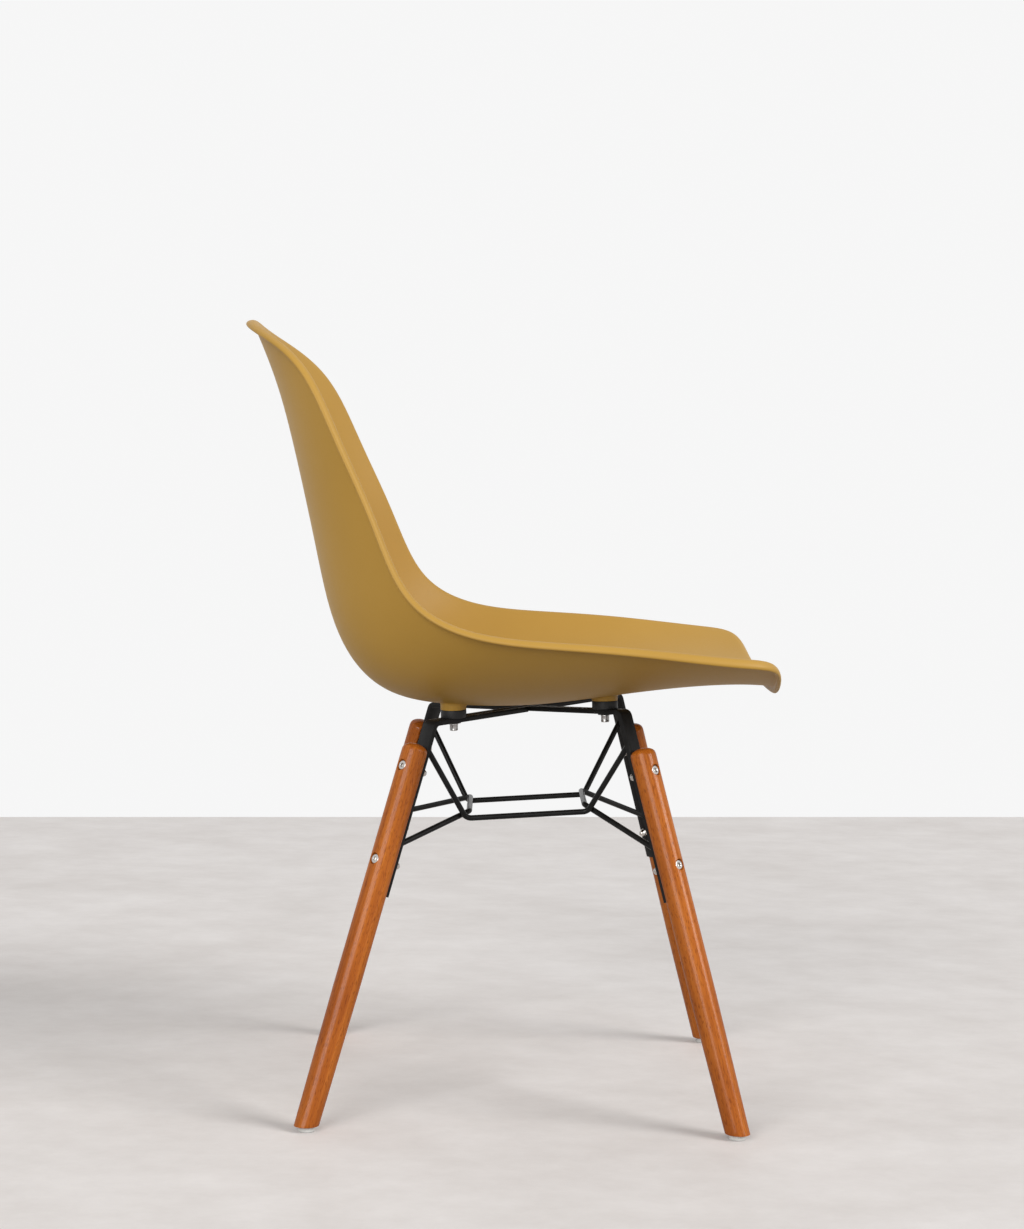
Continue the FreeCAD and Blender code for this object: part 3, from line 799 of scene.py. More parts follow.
def set_out(tree: GrowingTree, name: str, places: Sequence[Matrix], finish: Material, slot: str,
            *nodes: str, angle: float = CREASE) -> Piece:
    """One piece with a copy of a tree's shape on each place.

    Args:
        tree: Tree that ends in copies on places.
        name: Name of the piece.
        places: Frame of each copy.
        finish: Material of the piece.
        slot: Material slot of its nodes; not used.
        nodes: Nodes that it stands for.
        angle: Angle in degrees over which an edge stays sharp.

    Returns:
        The piece.
    """
    piece = tree.grow(name, point_mesh(name + "_places", places), finish)
    smooth(piece.data, angle)
    return settle(piece, slot, *nodes)


def named(nodes: str) -> list[str]:
    """Node names of all four corners."""
    return [f"{nodes}_{corner.label}" for corner in Corner]


@dataclass
class ChairShell:
    """Moulded bucket shell with its rolled lip and four bosses. Its stations are in millimetres."""

    layout: Layout
    wall: float = 5.0
    lip_radius: float = 8.0
    lip_angle: float = 86.0
    lip_skirt: float = 3.0
    curl: float = 3.0
    sink: float = 3.7
    centre_line: list = field(default_factory=lambda: [
        (-253, 32), (-218, 35), (-155, 30), (-78, 17), (-1, 4), (78, 3),
        (157, 10), (205, 68), (223, 158), (244, 248), (265, 333), (292, 392)])
    rim_line: list = field(default_factory=lambda: [
        (-249, 73), (-222, 68), (-163, 72), (-89, 78), (-13, 80), (58, 83),
        (117, 105), (144, 152), (164, 207), (193, 269), (212, 336), (211, 396)])
    half_widths: list = field(default_factory=lambda: [
        211, 221, 227, 229, 227, 219, 205, 188, 175, 167, 167, 171])
    edge: list = field(default_factory=lambda: [
        (0, 0.004), (0.35, 0.002), (0.72, 0.018), (0.97, 0.035), (1, 0.13), (1, 0.3), (1, 0.45),
        (1, 0.6), (1, 0.75), (0.97, 0.885), (0.775, 0.958), (0.42, 0.998), (0, 1.014)])
    per_handle: int = 4
    rings: int = 14
    lip_rows: int = 5
    boss_diameter: float = 27.0
    insert_diameter: float = 8.0
    insert_length: float = 7.0
    boss_fillet: float = 1.6
    boss_edge: float = 0.4
    edge_share: float = 0.3
    boss_root: float = 2.0
    boss_sides: int = 72
    fillet_steps: int = 6
    round_steps: int = 4
    cross_steps: int = 3
    crease: float = 50.0
    probe: float = 0.001

    @staticmethod
    def blend(handles: np.ndarray, first: np.ndarray, share: np.ndarray) -> np.ndarray:
        """Points of a uniform cubic B-spline.

        Args:
            handles: Rows of handles, as many as the spline needs after every first one.
            first: Number of the first of the four handles of each point.
            share: Place of each point between its middle two handles, 0 to 1.

        Returns:
            One row per point.
        """
        t = share[..., None]
        weights = ((1 - t) ** 3, 3 * t ** 3 - 6 * t ** 2 + 4,
                   -3 * t ** 3 + 3 * t ** 2 + 3 * t + 1, t ** 3)
        return sum(weight * handles[first + k] for k, weight in enumerate(weights)) / 6

    def sitting(self, across: np.ndarray, along: np.ndarray) -> np.ndarray:
        """Points of the upper face, with across from -1 to 1 and along from 0 at the front to 1."""
        rows = np.array([(*centre, *rim, half) for centre, rim, half in
                         zip(self.centre_line, self.rim_line, self.half_widths)], float)
        rows = np.vstack([2 * rows[0] - rows[1], rows, 2 * rows[-1] - rows[-2]])
        spans = len(rows) - 3
        place = along * spans
        first = np.clip(np.floor(place).astype(int), 0, spans - 1)
        cy, cz, ry, rz, half = np.moveaxis(self.blend(rows, first, place - first), -1, 0)
        curl = np.abs(across) ** self.curl
        return np.stack([half * across, cy + (ry - cy) * curl, cz + (rz - cz) * curl], axis=-1)

    def normal(self, across: np.ndarray, along: np.ndarray) -> np.ndarray:
        """Unit normals of the upper face, towards the sitter."""
        step = self.probe
        up = self.sitting(across, along + step) - self.sitting(across, along - step)
        side = self.sitting(across + step, along) - self.sitting(across - step, along)
        return self.unit(np.cross(side, up))

    @staticmethod
    def unit(vectors: np.ndarray) -> np.ndarray:
        """Vectors at length one."""
        return vectors / np.linalg.norm(vectors, axis=-1, keepdims=True)

    def round_trip(self, handles: np.ndarray, steps: int) -> np.ndarray:
        """Points of a closed spline through rows of handles, a number of steps per handle."""
        place = np.arange(len(handles) * steps) / steps
        first = np.floor(place).astype(int)
        wrapped = np.concatenate([handles[-1:], handles, handles[:2]])
        return self.blend(wrapped, first, place - first)

    def outline(self) -> np.ndarray:
        """Edge of the moulding as (across, along), once round."""
        left = [(-across, along) for across, along in reversed(self.edge[1:-1])]
        return self.round_trip(np.array(self.edge + left, float), self.per_handle)

    def poles(self) -> np.ndarray:
        """Rows of poles from the middle of the upper face over the lip to the middle below."""
        edge = self.outline()
        middle = np.array([0.0, 0.5])
        upper, lower = [], []
        for ring in range(self.rings + 1):
            across, along = np.moveaxis(middle + ring / self.rings * (edge - middle), -1, 0)
            points, normals = self.sitting(across, along), self.normal(across, along)
            upper.append(points)
            lower.append(points - normals * self.wall)
        course = np.roll(points, -1, axis=0) - np.roll(points, 1, axis=0)
        outward = -self.unit(np.cross(normals, course))
        centre = points - normals * self.lip_radius
        over, under = [], []
        for row in range(1, self.lip_rows + 1):
            angle = math.radians(self.lip_angle) * row / self.lip_rows
            ray = normals * math.cos(angle) + outward * math.sin(angle)
            over.append(centre + ray * self.lip_radius)
            under.append(centre + ray * (self.lip_radius - self.wall))
        down = outward * math.cos(angle) - normals * math.sin(angle)
        over.append(over[-1] + down * self.lip_skirt)
        under.append(under[-1] + down * self.lip_skirt)
        tip = (over[-1] + under[-1]) / 2 + down * self.wall / 2
        return np.array(upper + over + [tip] + under[::-1] + lower[::-1])

    @staticmethod
    def clamped(count: int, places: np.ndarray) -> np.ndarray:
        """Weights of all poles of a clamped cubic B-spline at places from 0 to count - 3."""
        knots = np.concatenate([[0.0] * 3, np.arange(count - 2.0), [count - 3.0] * 3])
        x = np.minimum(places, knots[-1] - 1e-9)[:, None]
        weights = ((knots[:-1] <= x) & (x < knots[1:])).astype(float)

        def ratio(part: np.ndarray, whole: np.ndarray) -> np.ndarray:
            return np.where(whole > 0, part / np.where(whole > 0, whole, 1), 0)

        for degree in (1, 2, 3):
            low, high = knots[:-degree - 1], knots[degree:-1]
            before, after = knots[1:-degree], knots[degree + 1:]
            weights = (ratio(x - low, high - low) * weights[:, :-1]
                       + ratio(after - x, after - before) * weights[:, 1:])
        return weights

    def skin(self) -> np.ndarray:
        """Points of the surface in metres, as rows from the middle above to the middle below."""
        poles = self.poles()
        spans = len(poles) - 3
        places = np.linspace(0, spans, spans * self.cross_steps + 1)
        rows = np.einsum("rp,pkx->rkx", self.clamped(len(poles), places), poles)
        skin = np.stack([self.round_trip(row, self.round_steps) for row in rows]) / MILLI
        skin[..., 1] += self.layout.base_y
        skin[..., 2] += self.layout.strap_top + self.layout.spacer_height - self.sink / MILLI
        return skin

    def boss_rings(self, corner: Corner, tree: BVHTree) -> list[list[Vector]]:
        """Rings of one boss, from the bottom of its insert's hole out and up into the wall."""
        boss = self.layout.boss(corner)
        up = boss.to_3x3() @ Vector((0, 0, 1))
        radius, hole = self.boss_diameter / 2 / MILLI, self.insert_diameter / 2 / MILLI
        fillet, edge = self.boss_fillet / MILLI, self.boss_edge / MILLI
        bottom = self.layout.spacer_height
        angles = [math.tau * k / self.boss_sides for k in range(self.boss_sides)]

        def spot(angle: float, reach: float, height: float) -> Vector:
            return boss @ Vector((reach * math.cos(angle), reach * math.sin(angle), height))

        def ceiling(reach: float, drop: float) -> list[Vector]:
            return [tree.ray_cast(spot(a, reach, bottom), up)[0] - up * drop for a in angles]

        inset = edge * self.edge_share
        rings = [[spot(a, reach, height) for a in angles] for reach, height in (
            (hole, bottom + self.insert_length / MILLI), (hole, bottom), (radius - edge, bottom),
            (radius - inset, bottom + inset), (radius, bottom + edge))]
        for step in range(self.fillet_steps + 1):
            turn = QUARTER * step / self.fillet_steps
            rings.append(ceiling(radius + fillet * (1 - math.cos(turn)),
                                 fillet * (1 - math.sin(turn))))
        rings.append(ceiling(radius, -self.boss_root / MILLI))
        return rings

    def build(self, finish: Material) -> Piece:
        """Make the shell from the moulded plastic."""
        skin = self.skin()
        rings = [[Vector(point) for point in row] for row in skin[1:-1]]
        draft = Draft()
        draft.loft(rings)
        draft.points[-2:] = [Vector(skin[0, 0]), Vector(skin[-1, 0])]
        tree = BVHTree.FromPolygons(draft.points, draft.faces)
        for corner in Corner:
            draft.loft(self.boss_rings(corner, tree))
        mesh = draft.mesh("shell_moulding")
        smooth(mesh, self.crease)
        piece = place_piece("shell_moulding", mesh, finish)
        return settle(piece, "shell_plastic", "seat_shell")


@dataclass
class DowelLegs:
    """Four turned and tapered dowels, rebated for the brackets and bored for their screws."""

    layout: Layout
    foot_diameter: float = 0.0246
    taper: float = 0.140
    dome: float = 0.005
    shoulder_softness: float = 0.006
    rebate_length: float = 0.1601
    counterbore: float = 0.012
    counterbore_depth: float = 0.005
    sides: int = 72
    rings: int = 110
    top_share: float = 0.25
    block: float = 0.06
    bore_sides: int = 48
    edge: float = 0.0005
    sharp: float = 45.0
    grain_turn: float = 1.3
    first_turn: float = 0.4
    grain_shift: Triple = (0.31, 0.17, 0.9)

    def tree(self) -> GrowingTree:
        """Tree that turns the dowel and cuts it."""
        lay = self.layout
        tree = GrowingTree("turned_dowel", {
            "Length": lay.leg_length, "Radius": lay.leg_radius,
            "Foot Radius": self.foot_diameter / 2, "Taper": self.taper, "Dome": self.dome,
            "Shoulder Softness": self.shoulder_softness, "Rebate Depth": lay.strap_thickness,
            "Rebate Length": self.rebate_length, "Splay": lay.leg_splay,
            "First Bolt": lay.bolt_steps[0], "Second Bolt": lay.bolt_steps[1],
            "Bolt Hole": lay.screw_hole, "Counterbore": self.counterbore,
            "Counterbore Depth": self.counterbore_depth, "Sides": self.sides, "Rings": self.rings})
        given = tree.given
        shelf = tree.minus(given["Radius"], given["Counterbore Depth"])
        through = tree.times(given["Radius"], -2.0)
        cutters = [self.rebate(tree), self.foot_cut(tree)]
        for title in ("First Bolt", "Second Bolt"):
            cutters += [self.bore(tree, title, given["Counterbore"], shelf),
                        self.bore(tree, title, given["Bolt Hole"], through)]
        cut = self.stick(tree)
        for cutter in cutters:
            cut = tree.get("GeometryNodeMeshBoolean", {"Mesh 1": cut, "Mesh 2": cutter},
                           operation="DIFFERENCE", solver="EXACT")
        tree.close(cut)
        return tree

    def stick(self, tree: GrowingTree) -> Socket:
        """Round dowel down from the origin, longer than the leg, with a domed top."""
        given, calc = tree.given, tree.math
        length, radius, dome = given["Length"], given["Radius"], given["Dome"]
        line = tree.get("GeometryNodeCurvePrimitiveLine",
                        {"Start": (0.0, 0.0, 0.0), "End": (0.0, 0.0, -1.0)})
        course = tree.get("GeometryNodeResampleCurve", {"Curve": line, "Count": given["Rings"]})
        share = tree.add("GeometryNodeSplineParameter").outputs["Factor"]
        depth = tree.plus(
            tree.spread(share, 0.0, tree.times(dome, 2.0), 0.0, self.top_share),
            tree.spread(share, 0.0, tree.plus(length, radius), self.top_share, 1.0))
        spot = tree.combine(z=tree.times(depth, -1.0))
        spaced = tree.get("GeometryNodeSetPosition", {"Geometry": course, "Position": spot})
        height = tree.times(tree.here()[2], -1.0)
        ball = calc("DIVIDE", tree.plus(calc("POWER", radius, 2.0), calc("POWER", dome, 2.0)),
                    tree.times(dome, 2.0))
        inside = tree.minus(tree.times(tree.times(ball, 2.0), height),
                            calc("POWER", height, 2.0))
        cap = tree.plus(calc("SQRT", calc("MAXIMUM", inside, 0.0)),
                        calc("GREATER_THAN", height, ball))
        body = tree.spread(height, radius, given["Foot Radius"],
                           tree.minus(length, given["Taper"]), length)
        reach = calc("MAXIMUM", calc("SMOOTH_MIN", cap, body, given["Shoulder Softness"]), 0.0)
        return tree.merged(tree.swept(spaced, tree.circle(given["Sides"], 1.0), Scale=reach))

    def rebate(self, tree: GrowingTree) -> Socket:
        """Block that leaves the flat for the bracket."""
        length = tree.given["Rebate Length"]
        edge = tree.minus(tree.given["Rebate Depth"], tree.given["Radius"])
        tall = tree.plus(length, self.block)
        block = tree.get("GeometryNodeMeshCube",
                         {"Size": tree.combine(self.block, self.block, tall)})
        middle = tree.plus(tree.times(length, -1.0), tree.times(tall, 0.5))
        return tree.shifted(block, tree.combine(tree.minus(edge, self.block / 2), 0.0, middle))

    def foot_cut(self, tree: GrowingTree) -> Socket:
        """Block under the level foot."""
        size = self.block * 2
        block = tree.get("GeometryNodeMeshCube", {"Size": (size, size, size)})
        sunk = tree.shifted(block, (0.0, 0.0, -size / 2))
        spot = tree.combine(z=tree.times(tree.given["Length"], -1.0))
        return tree.shifted(sunk, spot, tree.combine(y=tree.given["Splay"]))

    def bore(self, tree: GrowingTree, title: str, diameter: Value, low: Value) -> Socket:
        """Round cutter across the leg, from a depth out past its outer side."""
        inputs = {"Vertices": self.bore_sides, "Radius": tree.times(diameter, 0.5),
                  "Depth": self.block}
        rod = tree.get("GeometryNodeMeshCylinder", inputs)
        spot = tree.combine(tree.plus(low, self.block / 2), 0.0,
                            tree.times(tree.given[title], -1.0))
        return tree.shifted(rod, spot, (0.0, QUARTER, 0.0))

    def store_grain(self, mesh: Mesh, number: int) -> None:
        """Store where each point of a dowel lies in its own stretch of grain."""
        grain = mesh.attributes.new("grain", "FLOAT_VECTOR", "POINT")
        turn = Matrix.Rotation(self.grain_turn * number + self.first_turn, 3, "Z")
        shift = Vector(self.grain_shift) * (number + 1)
        for item, vertex in zip(grain.data, mesh.vertices):
            item.vector = turn @ vertex.co + shift

    def build(self, finish: Material) -> list[Piece]:
        """Make the four dowels, each from its own stretch of grain."""
        tree = self.tree()
        pieces = []
        for number, corner in enumerate(Corner):
            piece = tree.grow("dowel_" + corner.label, bpy.data.meshes.new("dowel_base"), finish)
            round_edges(piece.data, self.edge, self.sharp)
            self.store_grain(piece.data, number)
            piece.data.transform(self.layout.leg(corner))
            pieces.append(settle(piece, "stained_wood", "leg_" + corner.label))
        return pieces


@dataclass
class SteelFrame:
    """Crossed straps with their brackets, and the four rods welded between the brackets."""

    layout: Layout
    rod_diameter: float = 0.006
    bend_radius: float = 0.009
    rod_sides: int = 28
    bend_steps: int = 10
    weld_gap: float = 0.0001
    side_reach: float = 0.064
    side_drop: float = 0.1092
    side_ends: Span = (-0.009, 0.0)
    end_reach: float = 0.061
    end_step: float = 0.109
    strap_edge: float = 0.0007
    strap_sharp: float = 40.0
    strap_flat: float = 0.4

    @property
    def spread(self) -> float:
        """Distance of a rod from the middle of the bracket that it is welded to."""
        return self.rod_diameter / 2 + self.weld_gap / 2

    def rod_tree(self) -> GrowingTree:
        """Tree that rounds a course of straight runs and sweeps it."""
        tree = GrowingTree("bent_rod", {"Diameter": self.rod_diameter,
                                        "Bend Radius": self.bend_radius,
                                        "Sides": self.rod_sides, "Bend Steps": self.bend_steps})
        given = tree.given
        course = tree.get("GeometryNodeMeshToCurve", {0: given["Geometry"]})
        bent = tree.filleted(course, given["Bend Steps"], given["Bend Radius"])
        tree.close(tree.swept(bent, tree.circle(given["Sides"], tree.half("Diameter"))))
        return tree

    def weld(self, corner: Corner, shift: float, step: float) -> Vector:
        """Point in the middle of a bracket's bar, a step down the leg and shifted across it."""
        lay = self.layout
        local = Vector((-lay.leg_radius + lay.strap_thickness / 2, 0, -step))
        return lay.leg(corner) @ local + lay.diagonal(corner)[1] * shift

    def turning(self, corner: Corner, shift: float, reach: float, along_x: bool) -> Vector:
        """Point where a rod leaves the plane of a diagonal, at a distance in X or in Y."""
        lay = self.layout
        outward, across = lay.diagonal(corner)
        if along_x:
            distance = (reach - abs(across.x) * shift) / abs(outward.x)
        else:
            distance = (reach + abs(across.y) * shift) / abs(outward.y)
        point = outward * distance + across * shift
        level = lay.strap_top - self.side_drop - math.tan(lay.frame_tilt) * point.y
        return Vector((point.x, point.y + lay.base_y, level))

    def side_course(self, side: Side) -> list[Vector]:
        """Points of a side rod from its front weld to its rear one."""
        front, rear = side.value
        front_end, rear_end = self.side_ends
        return [self.weld(front, self.spread, front_end),
                self.turning(front, self.spread, self.side_reach, True),
                self.turning(rear, self.spread, self.side_reach, True),
                self.weld(rear, self.spread, rear_end)]

    def end_course(self, end: End) -> list[Vector]:
        """Points of an end rod, which rises over the side rods."""
        rise = Vector((0, 0, self.rod_diameter))
        points = []
        for corner, order in zip(end.value, (1, -1)):
            pair = [self.weld(corner, -self.spread, self.end_step),
                    self.turning(corner, -self.spread, self.end_reach, False) + rise]
            points += pair[::order]
        return points

    def build(self, bars: Material, rods: Material) -> list[Piece]:
        """Make straps and rods.

        Args:
            bars: Coat of the straps.
            rods: Coat of the rods.

        Returns:
            The six pieces.
        """
        pieces = []
        for node, name in (("strap_main", "cross_bar_main"), ("strap_cross", "cross_bar_second")):
            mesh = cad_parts[node].data.copy()
            round_edges(mesh, self.strap_edge, self.strap_sharp, self.strap_flat)
            pieces.append(settle(place_piece(name, mesh, bars), "black_steel", node))
        tree = self.rod_tree()
        courses = {f"side_rod_{side.name.lower()}": self.side_course(side) for side in Side}
        courses |= {f"end_rod_{end.name.lower()}": self.end_course(end) for end in End}
        for name, points in courses.items():
            base = bpy.data.meshes.new(name + "_course")
            base.from_pydata(points, [(0, 1), (1, 2), (2, 3)], [])
            piece = tree.grow(name, base, rods)
            smooth(piece.data)
            pieces.append(settle(piece, "black_steel", "wire_" + name.rsplit("_", 1)[1]))
        return pieces


@dataclass(frozen=True)
class ScrewSizes:
    """Sizes of a screw with a round head and a hexagonal socket."""

    head: float
    head_height: float
    shank_length: float
    socket_depth: float
    edge: float
    shank: float = 0.005
    socket: float = 0.004
    ridges: int = 0
    tip_share: float = 0.8
    tip_length: float = 0.0005
    chamfer: float = 0.0002
    socket_ease: float = 0.00005
    socket_tip: float = 0.1
    knurl_start: float = 0.1
    knurl_stop: float = 0.9
    edge_steps: int = 4

    def tree(self, name: str) -> TurnedTree:
        """Tree for the screw, its head's underside at Z = 0 and its shank below."""
        tree = TurnedTree(name, {"Head": self.head, "Head Height": self.head_height,
                                 "Shank": self.shank, "Shank Length": self.shank_length,
                                 "Socket": self.socket, "Socket Depth": self.socket_depth,
                                 "Edge": self.edge})
        given = tree.given
        head, shank, socket = (tree.half(title) for title in ("Head", "Shank", "Socket"))
        length, top = given["Shank Length"], given["Head Height"]
        tree.start(tree.times(shank, self.tip_share), tree.times(length, -1.0))
        tree.ring(shank, tree.minus(self.tip_length, length))
        tree.ring(shank, 0.0)
        tree.ring(tree.minus(head, self.chamfer), 0.0)
        tree.ring(head, self.chamfer)
        if self.ridges:
            low = tree.times(top, self.knurl_start)
            high = tree.minus(tree.times(top, self.knurl_stop), given["Edge"])
            ridged = tree.knurled(head, self.ridges)
            for radius, height in ((head, low), (ridged, tree.plus(low, self.chamfer)),
                                   (ridged, high), (head, tree.plus(high, self.chamfer))):
                tree.ring(radius, height)
        tree.rounded(head, top, given["Edge"], True, self.edge_steps)
        floor = tree.minus(top, given["Socket Depth"])
        tree.ring(tree.plus(socket, self.tip_length), top)
        tree.ring(tree.plus(socket, self.socket_ease), tree.minus(top, self.chamfer), True)
        tree.ring(socket, tree.minus(top, self.chamfer * 2), True)
        tree.ring(socket, floor, True)
        tree.ring(tree.times(given["Socket"], self.socket_tip),
                  tree.minus(floor, self.chamfer * 2))
        tree.close(tree.on_places(tree.done()))
        return tree


@dataclass
class SeatFastenings:
    """Spacer, washers and cap screw under each boss."""

    layout: Layout
    spacer: float = 0.027
    spacer_edge: float = 0.0006
    washer: float = 0.015
    washer_height: float = 0.0012
    washer_edge: float = 0.0003
    disc_sides: int = 64
    split_washer: float = 0.0092
    split_height: float = 0.0018
    split_edge: float = 0.0002
    split_steps: int = 60
    split_seed: int = 11
    slit: float = 0.0009
    screw: ScrewSizes = ScrewSizes(head=0.0085, head_height=0.006, shank_length=0.0227,
                                   socket_depth=0.003, edge=0.0006, ridges=24)

    def disc_tree(self, name: str, diameter: float, height: float, edge: float) -> TurnedTree:
        """Tree for a round washer or spacer with its hole."""
        tree = TurnedTree(name, {"Diameter": diameter, "Height": height,
                                 "Hole": self.layout.screw_hole, "Edge": edge})
        outer, hole = tree.half("Diameter"), tree.half("Hole")
        top, edge = tree.given["Height"], tree.given["Edge"]
        tree.start(hole, 0.0, self.disc_sides)
        tree.rounded(outer, 0.0, edge, False)
        tree.rounded(outer, top, edge, True)
        tree.ring(hole, top)
        tree.ring(hole, 0.0)
        tree.close(tree.on_places(tree.done(True)))
        return tree

    def split_tree(self) -> GrowingTree:
        """Tree for a spring washer: a square wire wound once, its ends a little apart."""
        tree = GrowingTree("split_washer", {
            "Diameter": self.split_washer, "Hole": self.layout.screw_hole,
            "Height": self.split_height, "Slit": self.slit})
        given = tree.given
        mean = tree.times(tree.plus(given["Diameter"], given["Hole"]), 0.25)
        width = tree.times(tree.minus(given["Diameter"], given["Hole"]), 0.5)
        gap = tree.math("DIVIDE", given["Slit"], mean)
        arc = tree.get("GeometryNodeCurveArc", {
            "Resolution": self.split_steps, "Radius": mean, "Start Angle": tree.times(gap, 0.5),
            "Sweep Angle": tree.minus(math.tau, gap)})
        square = tree.get("GeometryNodeCurvePrimitiveQuadrilateral",
                          {"Width": width, "Height": given["Height"]})
        swept = tree.swept(arc, tree.filleted(square, 2, self.split_edge))
        lifted = tree.shifted(swept, tree.combine(z=tree.half("Height")))
        tree.close(tree.on_places(lifted, self.split_seed))
        return tree

    def places(self, height: float, turned: bool = False) -> list[Matrix]:
        """Frames at a height over the strap on each boss's axis, turned over where asked."""
        over = Matrix.Rotation(math.pi, 4, "X") if turned else Matrix.Identity(4)
        shift = Matrix.Translation((0, 0, height)) @ over
        return [self.layout.boss(corner) @ shift for corner in Corner]

    def build(self, palette: dict[str, Material]) -> list[Piece]:
        """Make the four sets of fastenings as four pieces."""
        washer_low = -self.layout.strap_thickness - self.washer_height
        split_low = washer_low - self.split_height
        spacer = self.disc_tree("rubber_spacer", self.spacer, self.layout.spacer_height,
                                self.spacer_edge)
        washer = self.disc_tree("wide_washer", self.washer, self.washer_height, self.washer_edge)
        return [
            set_out(spacer, "rubber_spacers", self.places(0.0), palette["rubber"],
                    "rubber", *named("spacer")),
            set_out(washer, "wide_washers", self.places(washer_low), palette["washers"],
                    "black_steel", "seat_flat_washers"),
            set_out(self.split_tree(), "split_washers", self.places(split_low), palette["zinc"],
                    "zinc_steel", "seat_spring_washers"),
            set_out(self.screw.tree("cap_screw"), "cap_screws", self.places(split_low, True),
                    palette["zinc"], "zinc_steel", "seat_bolts")]


@dataclass
class LegFastenings:
    """Sunk screws through legs and brackets, and their domed nuts."""

    layout: Layout
    sunk: float = 0.002
    nut: float = 0.008
    hex_height: float = 0.0045
    nut_height: float = 0.010
    dome: float = 0.0074
    dome_steps: int = 7
    nut_chamfer: float = 0.0003
    nut_face: float = 0.98
    nut_seed: int = 5
    crease: float = 30.0
    screw: ScrewSizes = ScrewSizes(head=0.0105, head_height=0.003, shank_length=0.0275,
                                   socket_depth=0.0018, edge=0.0009)

    def nut_tree(self) -> TurnedTree:
        """Tree for a hexagonal nut with a domed cap."""
        tree = TurnedTree("domed_nut", {"Across Flats": self.nut, "Hexagon Height": self.hex_height,
                                        "Height": self.nut_height, "Dome": self.dome})
        flats, dome = tree.half("Across Flats"), tree.half("Dome")
        top = tree.given["Hexagon Height"]
        middle = tree.minus(tree.given["Height"], dome)
        tree.start(tree.times(flats, self.nut_face), 0.0)
        tree.ring(flats, self.nut_chamfer, True)
        tree.ring(flats, tree.minus(top, self.nut_chamfer), True)
        tree.ring(flats, top)
        tree.ring(dome, top)
        for step in range(self.dome_steps):
            angle = QUARTER * step / self.dome_steps
            tree.ring(tree.times(dome, math.cos(angle)),
                      tree.plus(middle, tree.times(dome, math.sin(angle))))
        tree.close(tree.on_places(tree.done(), self.nut_seed))
        return tree

    def places(self, distance: float, inward: bool) -> list[Matrix]:
        """Frames at a distance from each leg's axis, with Z away from the chair or into it."""
        turn = Matrix.Rotation(-QUARTER if inward else QUARTER, 4, "Y")
        return [self.layout.leg(corner) @ Matrix.Translation((distance, 0, -step)) @ turn
                for corner in Corner for step in self.layout.bolt_steps]

    def build(self, finish: Material) -> list[Piece]:
        """Make the eight screws and the eight nuts."""
        radius = self.layout.leg_radius
        seat = radius - self.sunk - self.screw.head_height
        return [
            set_out(self.screw.tree("leg_screw"), "leg_screws", self.places(seat, False), finish,
                    "nickel_steel", "leg_bolts", angle=self.crease),
            set_out(self.nut_tree(), "domed_nuts", self.places(-radius, True), finish,
                    "nickel_steel", "leg_nuts", angle=self.crease)]


@dataclass
class FootGlides:
    """Round glides nailed under the feet."""

    layout: Layout
    diameter: float = 0.017
    edge: float = 0.001
    top_share: float = 0.3
    sides: int = 64
    edge_steps: int = 4
    top_steps: int = 2

    def build(self, finish: Material) -> Piece:
        """Make the four glides as one piece."""
        tree = TurnedTree("foot_glide", {"Diameter": self.diameter, "Edge": self.edge,
                                         "Height": self.layout.glide_height})
        radius, edge = tree.half("Diameter"), tree.given["Edge"]
        tree.start(tree.minus(radius, edge), 0.0, self.sides)
        tree.rounded(radius, 0.0, edge, False, self.edge_steps)
        tree.rounded(radius, tree.given["Height"], tree.times(edge, self.top_share), True,
                     self.top_steps)
        tree.close(tree.on_places(tree.done()))
        places = [Matrix.Translation(self.layout.foot(corner)) for corner in Corner]
        return set_out(tree, "foot_glides", places, finish, "glide_plastic", *named("glide"))


@dataclass(frozen=True)
class SoftBox:
    """One large soft lamp."""

    name: str
    place: Triple
    aim: Triple
    size: float
    power: float

    def build(self) -> None:
        """Hang the lamp."""
        lamp = bpy.data.lights.new(self.name, "AREA")
        lamp.shape, lamp.size, lamp.energy = "DISK", self.size, self.power
        hung = bpy.data.objects.new(self.name, lamp)
        hung.location = self.place
        ray = Vector(self.aim) - Vector(self.place)
        hung.rotation_euler = ray.to_track_quat("-Z", "Y").to_euler()
        bpy.context.scene.collection.objects.link(hung)


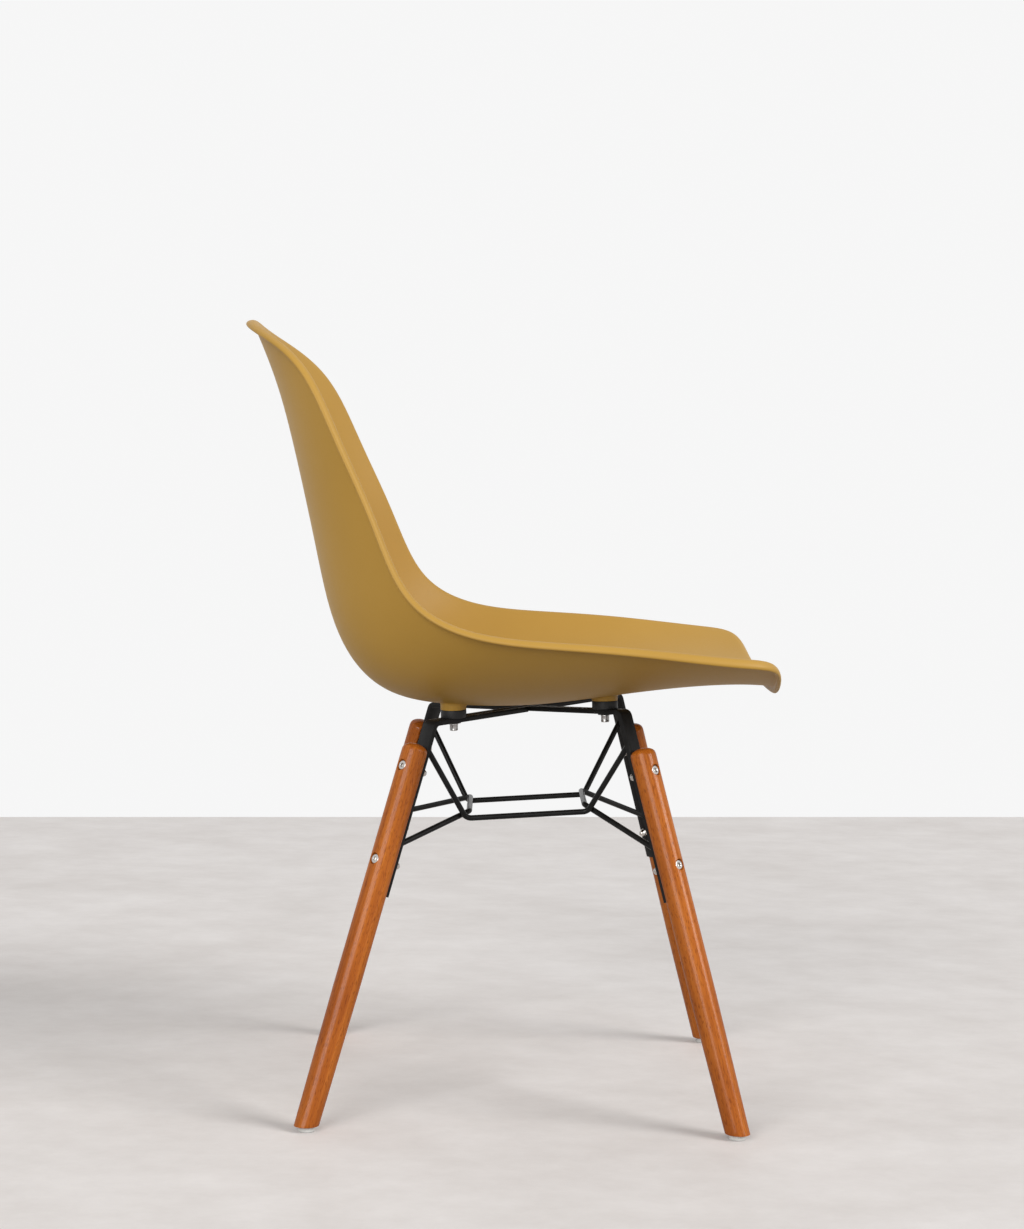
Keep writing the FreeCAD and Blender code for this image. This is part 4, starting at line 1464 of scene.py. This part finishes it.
@dataclass
class Studio:
    """Camera, floor, lamps and the pale room."""

    layout: Layout
    distance: float = 2.6044
    offset: float = 0.038
    height: float = 0.687
    yaw: float = math.radians(0.4)
    pitch: float = math.radians(3.859)
    roll: float = math.radians(-1.224)
    focal: float = 2426.2
    picture: tuple[int, int] = (1024, 1229)
    sensor: float = 36.0
    clip: Span = (0.05, 100.0)
    floor_row: float = 817.0
    floor_reach: float = 9.0
    room_white: float = 0.925
    room_light: Colour = (0.97, 0.985, 1.0)
    ambient: float = 0.42
    lamps: tuple[SoftBox, ...] = (
        SoftBox("front_box", (-6.2, -13.0, 8.6), (0.0, 0.0, 0.4), 8.5, 1780.0),
        SoftBox("rear_box", (-12.5, 5.8, 5.6), (0.0, 0.0, 0.5), 10.0, 1290.0),
    )

    def axes(self) -> tuple[Vector, Vector, Vector]:
        """Directions ahead of the camera, to its right and down."""
        def swung(first: Vector, second: Vector, angle: float) -> tuple[Vector, Vector]:
            sine, cosine = math.sin(angle), math.cos(angle)
            return first * cosine + second * sine, second * cosine - first * sine

        ahead, right, down = Vector((1, 0, 0)), Vector((0, -1, 0)), Vector((0, 0, -1))
        ahead, right = swung(ahead, right, self.yaw)
        ahead, down = swung(ahead, down, self.pitch)
        right, down = swung(right, down, self.roll)
        return ahead, right, down

    @property
    def place(self) -> Vector:
        """Where the camera stands."""
        return Vector((-self.distance, self.offset + self.layout.base_y, self.height))

    def camera(self) -> None:
        """Camera that looks along +X at the sitter's right side."""
        ahead, right, down = self.axes()
        lens = bpy.data.cameras.new("photo_camera")
        lens.sensor_width = self.sensor
        lens.lens = self.focal / max(self.picture) * self.sensor
        lens.clip_start, lens.clip_end = self.clip
        shot = bpy.data.objects.new("photo_camera", lens)
        turn = Matrix((right, -down, -ahead)).transposed().to_4x4()
        shot.matrix_world = Matrix.Translation(self.place) @ turn
        bpy.context.scene.collection.objects.link(shot)
        bpy.context.scene.camera = shot

    def on_floor(self, column: float, row: float) -> Vector:
        """Point of the floor that a point of the picture shows."""
        ahead, right, down = self.axes()
        wide, tall = self.picture
        ray = ahead * self.focal + right * (column - wide / 2) + down * (row - tall / 2)
        return self.place - ray * (self.place.z / ray.z)

    def floor(self, finish: Material) -> None:
        """Floor that ends where the pale room begins, level in the picture."""
        left, right = (self.on_floor(column, self.floor_row) for column in (0, self.picture[0]))
        reach, run = self.floor_reach, (right - left).normalized()
        far = [left - run * reach, right + run * reach]
        near = [point - Vector((2 * reach, 0, 0)) for point in far]
        mesh = bpy.data.meshes.new("studio_floor")
        mesh.from_pydata([far[0], near[0], near[1], far[1]], [], [(0, 1, 2, 3)])
        place_piece("studio_floor", mesh, finish)

    def room(self) -> None:
        """World that lights softly and shows white to the camera, in gloss and through glass."""
        world = bpy.data.worlds.new("pale_room")
        world.use_nodes = True
        world.node_tree.nodes.clear()
        sketch = Sketch(world.node_tree)
        seen = sketch.on_rays("Is Camera Ray", "Is Glossy Ray", "Is Transmission Ray")
        light, white = (sketch.get("ShaderNodeBackground", {"Color": colour, "Strength": strength})
                        for colour, strength in ((self.room_light, self.ambient),
                                                 (WHITE, self.room_white)))
        mixed = sketch.get("ShaderNodeMixShader", {0: seen, 1: light, 2: white})
        sketch.add("ShaderNodeOutputWorld", {"Surface": mixed})
        bpy.context.scene.world = world

    def build(self, finish: Material) -> None:
        """Set up camera, floor, room and lamps."""
        self.camera()
        self.floor(finish)
        self.room()
        for lamp in self.lamps:
            lamp.build()
        bpy.context.scene.view_settings.view_transform = "Standard"


def dress_hidden_nodes(palette: dict[str, Material]) -> None:
    """Give the pieces inside bosses and glides their metal."""
    for node, finish in (("boss_inserts", "brass"), ("glide_nails", "zinc")):
        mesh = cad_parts[node].data
        mesh.materials.clear()
        mesh.materials.append(palette[finish])
        LOG.info("%s keeps its shape and is %s", node, finish)


def main() -> None:
    """Build the chair and its studio in order."""
    logging.basicConfig(level=logging.INFO, format="%(message)s")
    finishes = Palette()
    palette = {item.name: getattr(finishes, item.name).build() for item in fields(Palette)}
    layout = Layout.from_frame()
    Studio(layout).build(palette["floor"])
    pieces = [ChairShell(layout).build(palette["shell"])]
    pieces += DowelLegs(layout).build(palette["wood"])
    pieces += SteelFrame(layout).build(palette["bars"], palette["rods"])
    pieces += SeatFastenings(layout).build(palette)
    pieces += LegFastenings(layout).build(palette["nickel"])
    pieces.append(FootGlides(layout).build(palette["nylon"]))
    dress_hidden_nodes(palette)
    LOG.info("%d pieces stand round the frame", len(pieces))


if __name__ == "__main__":
    main()
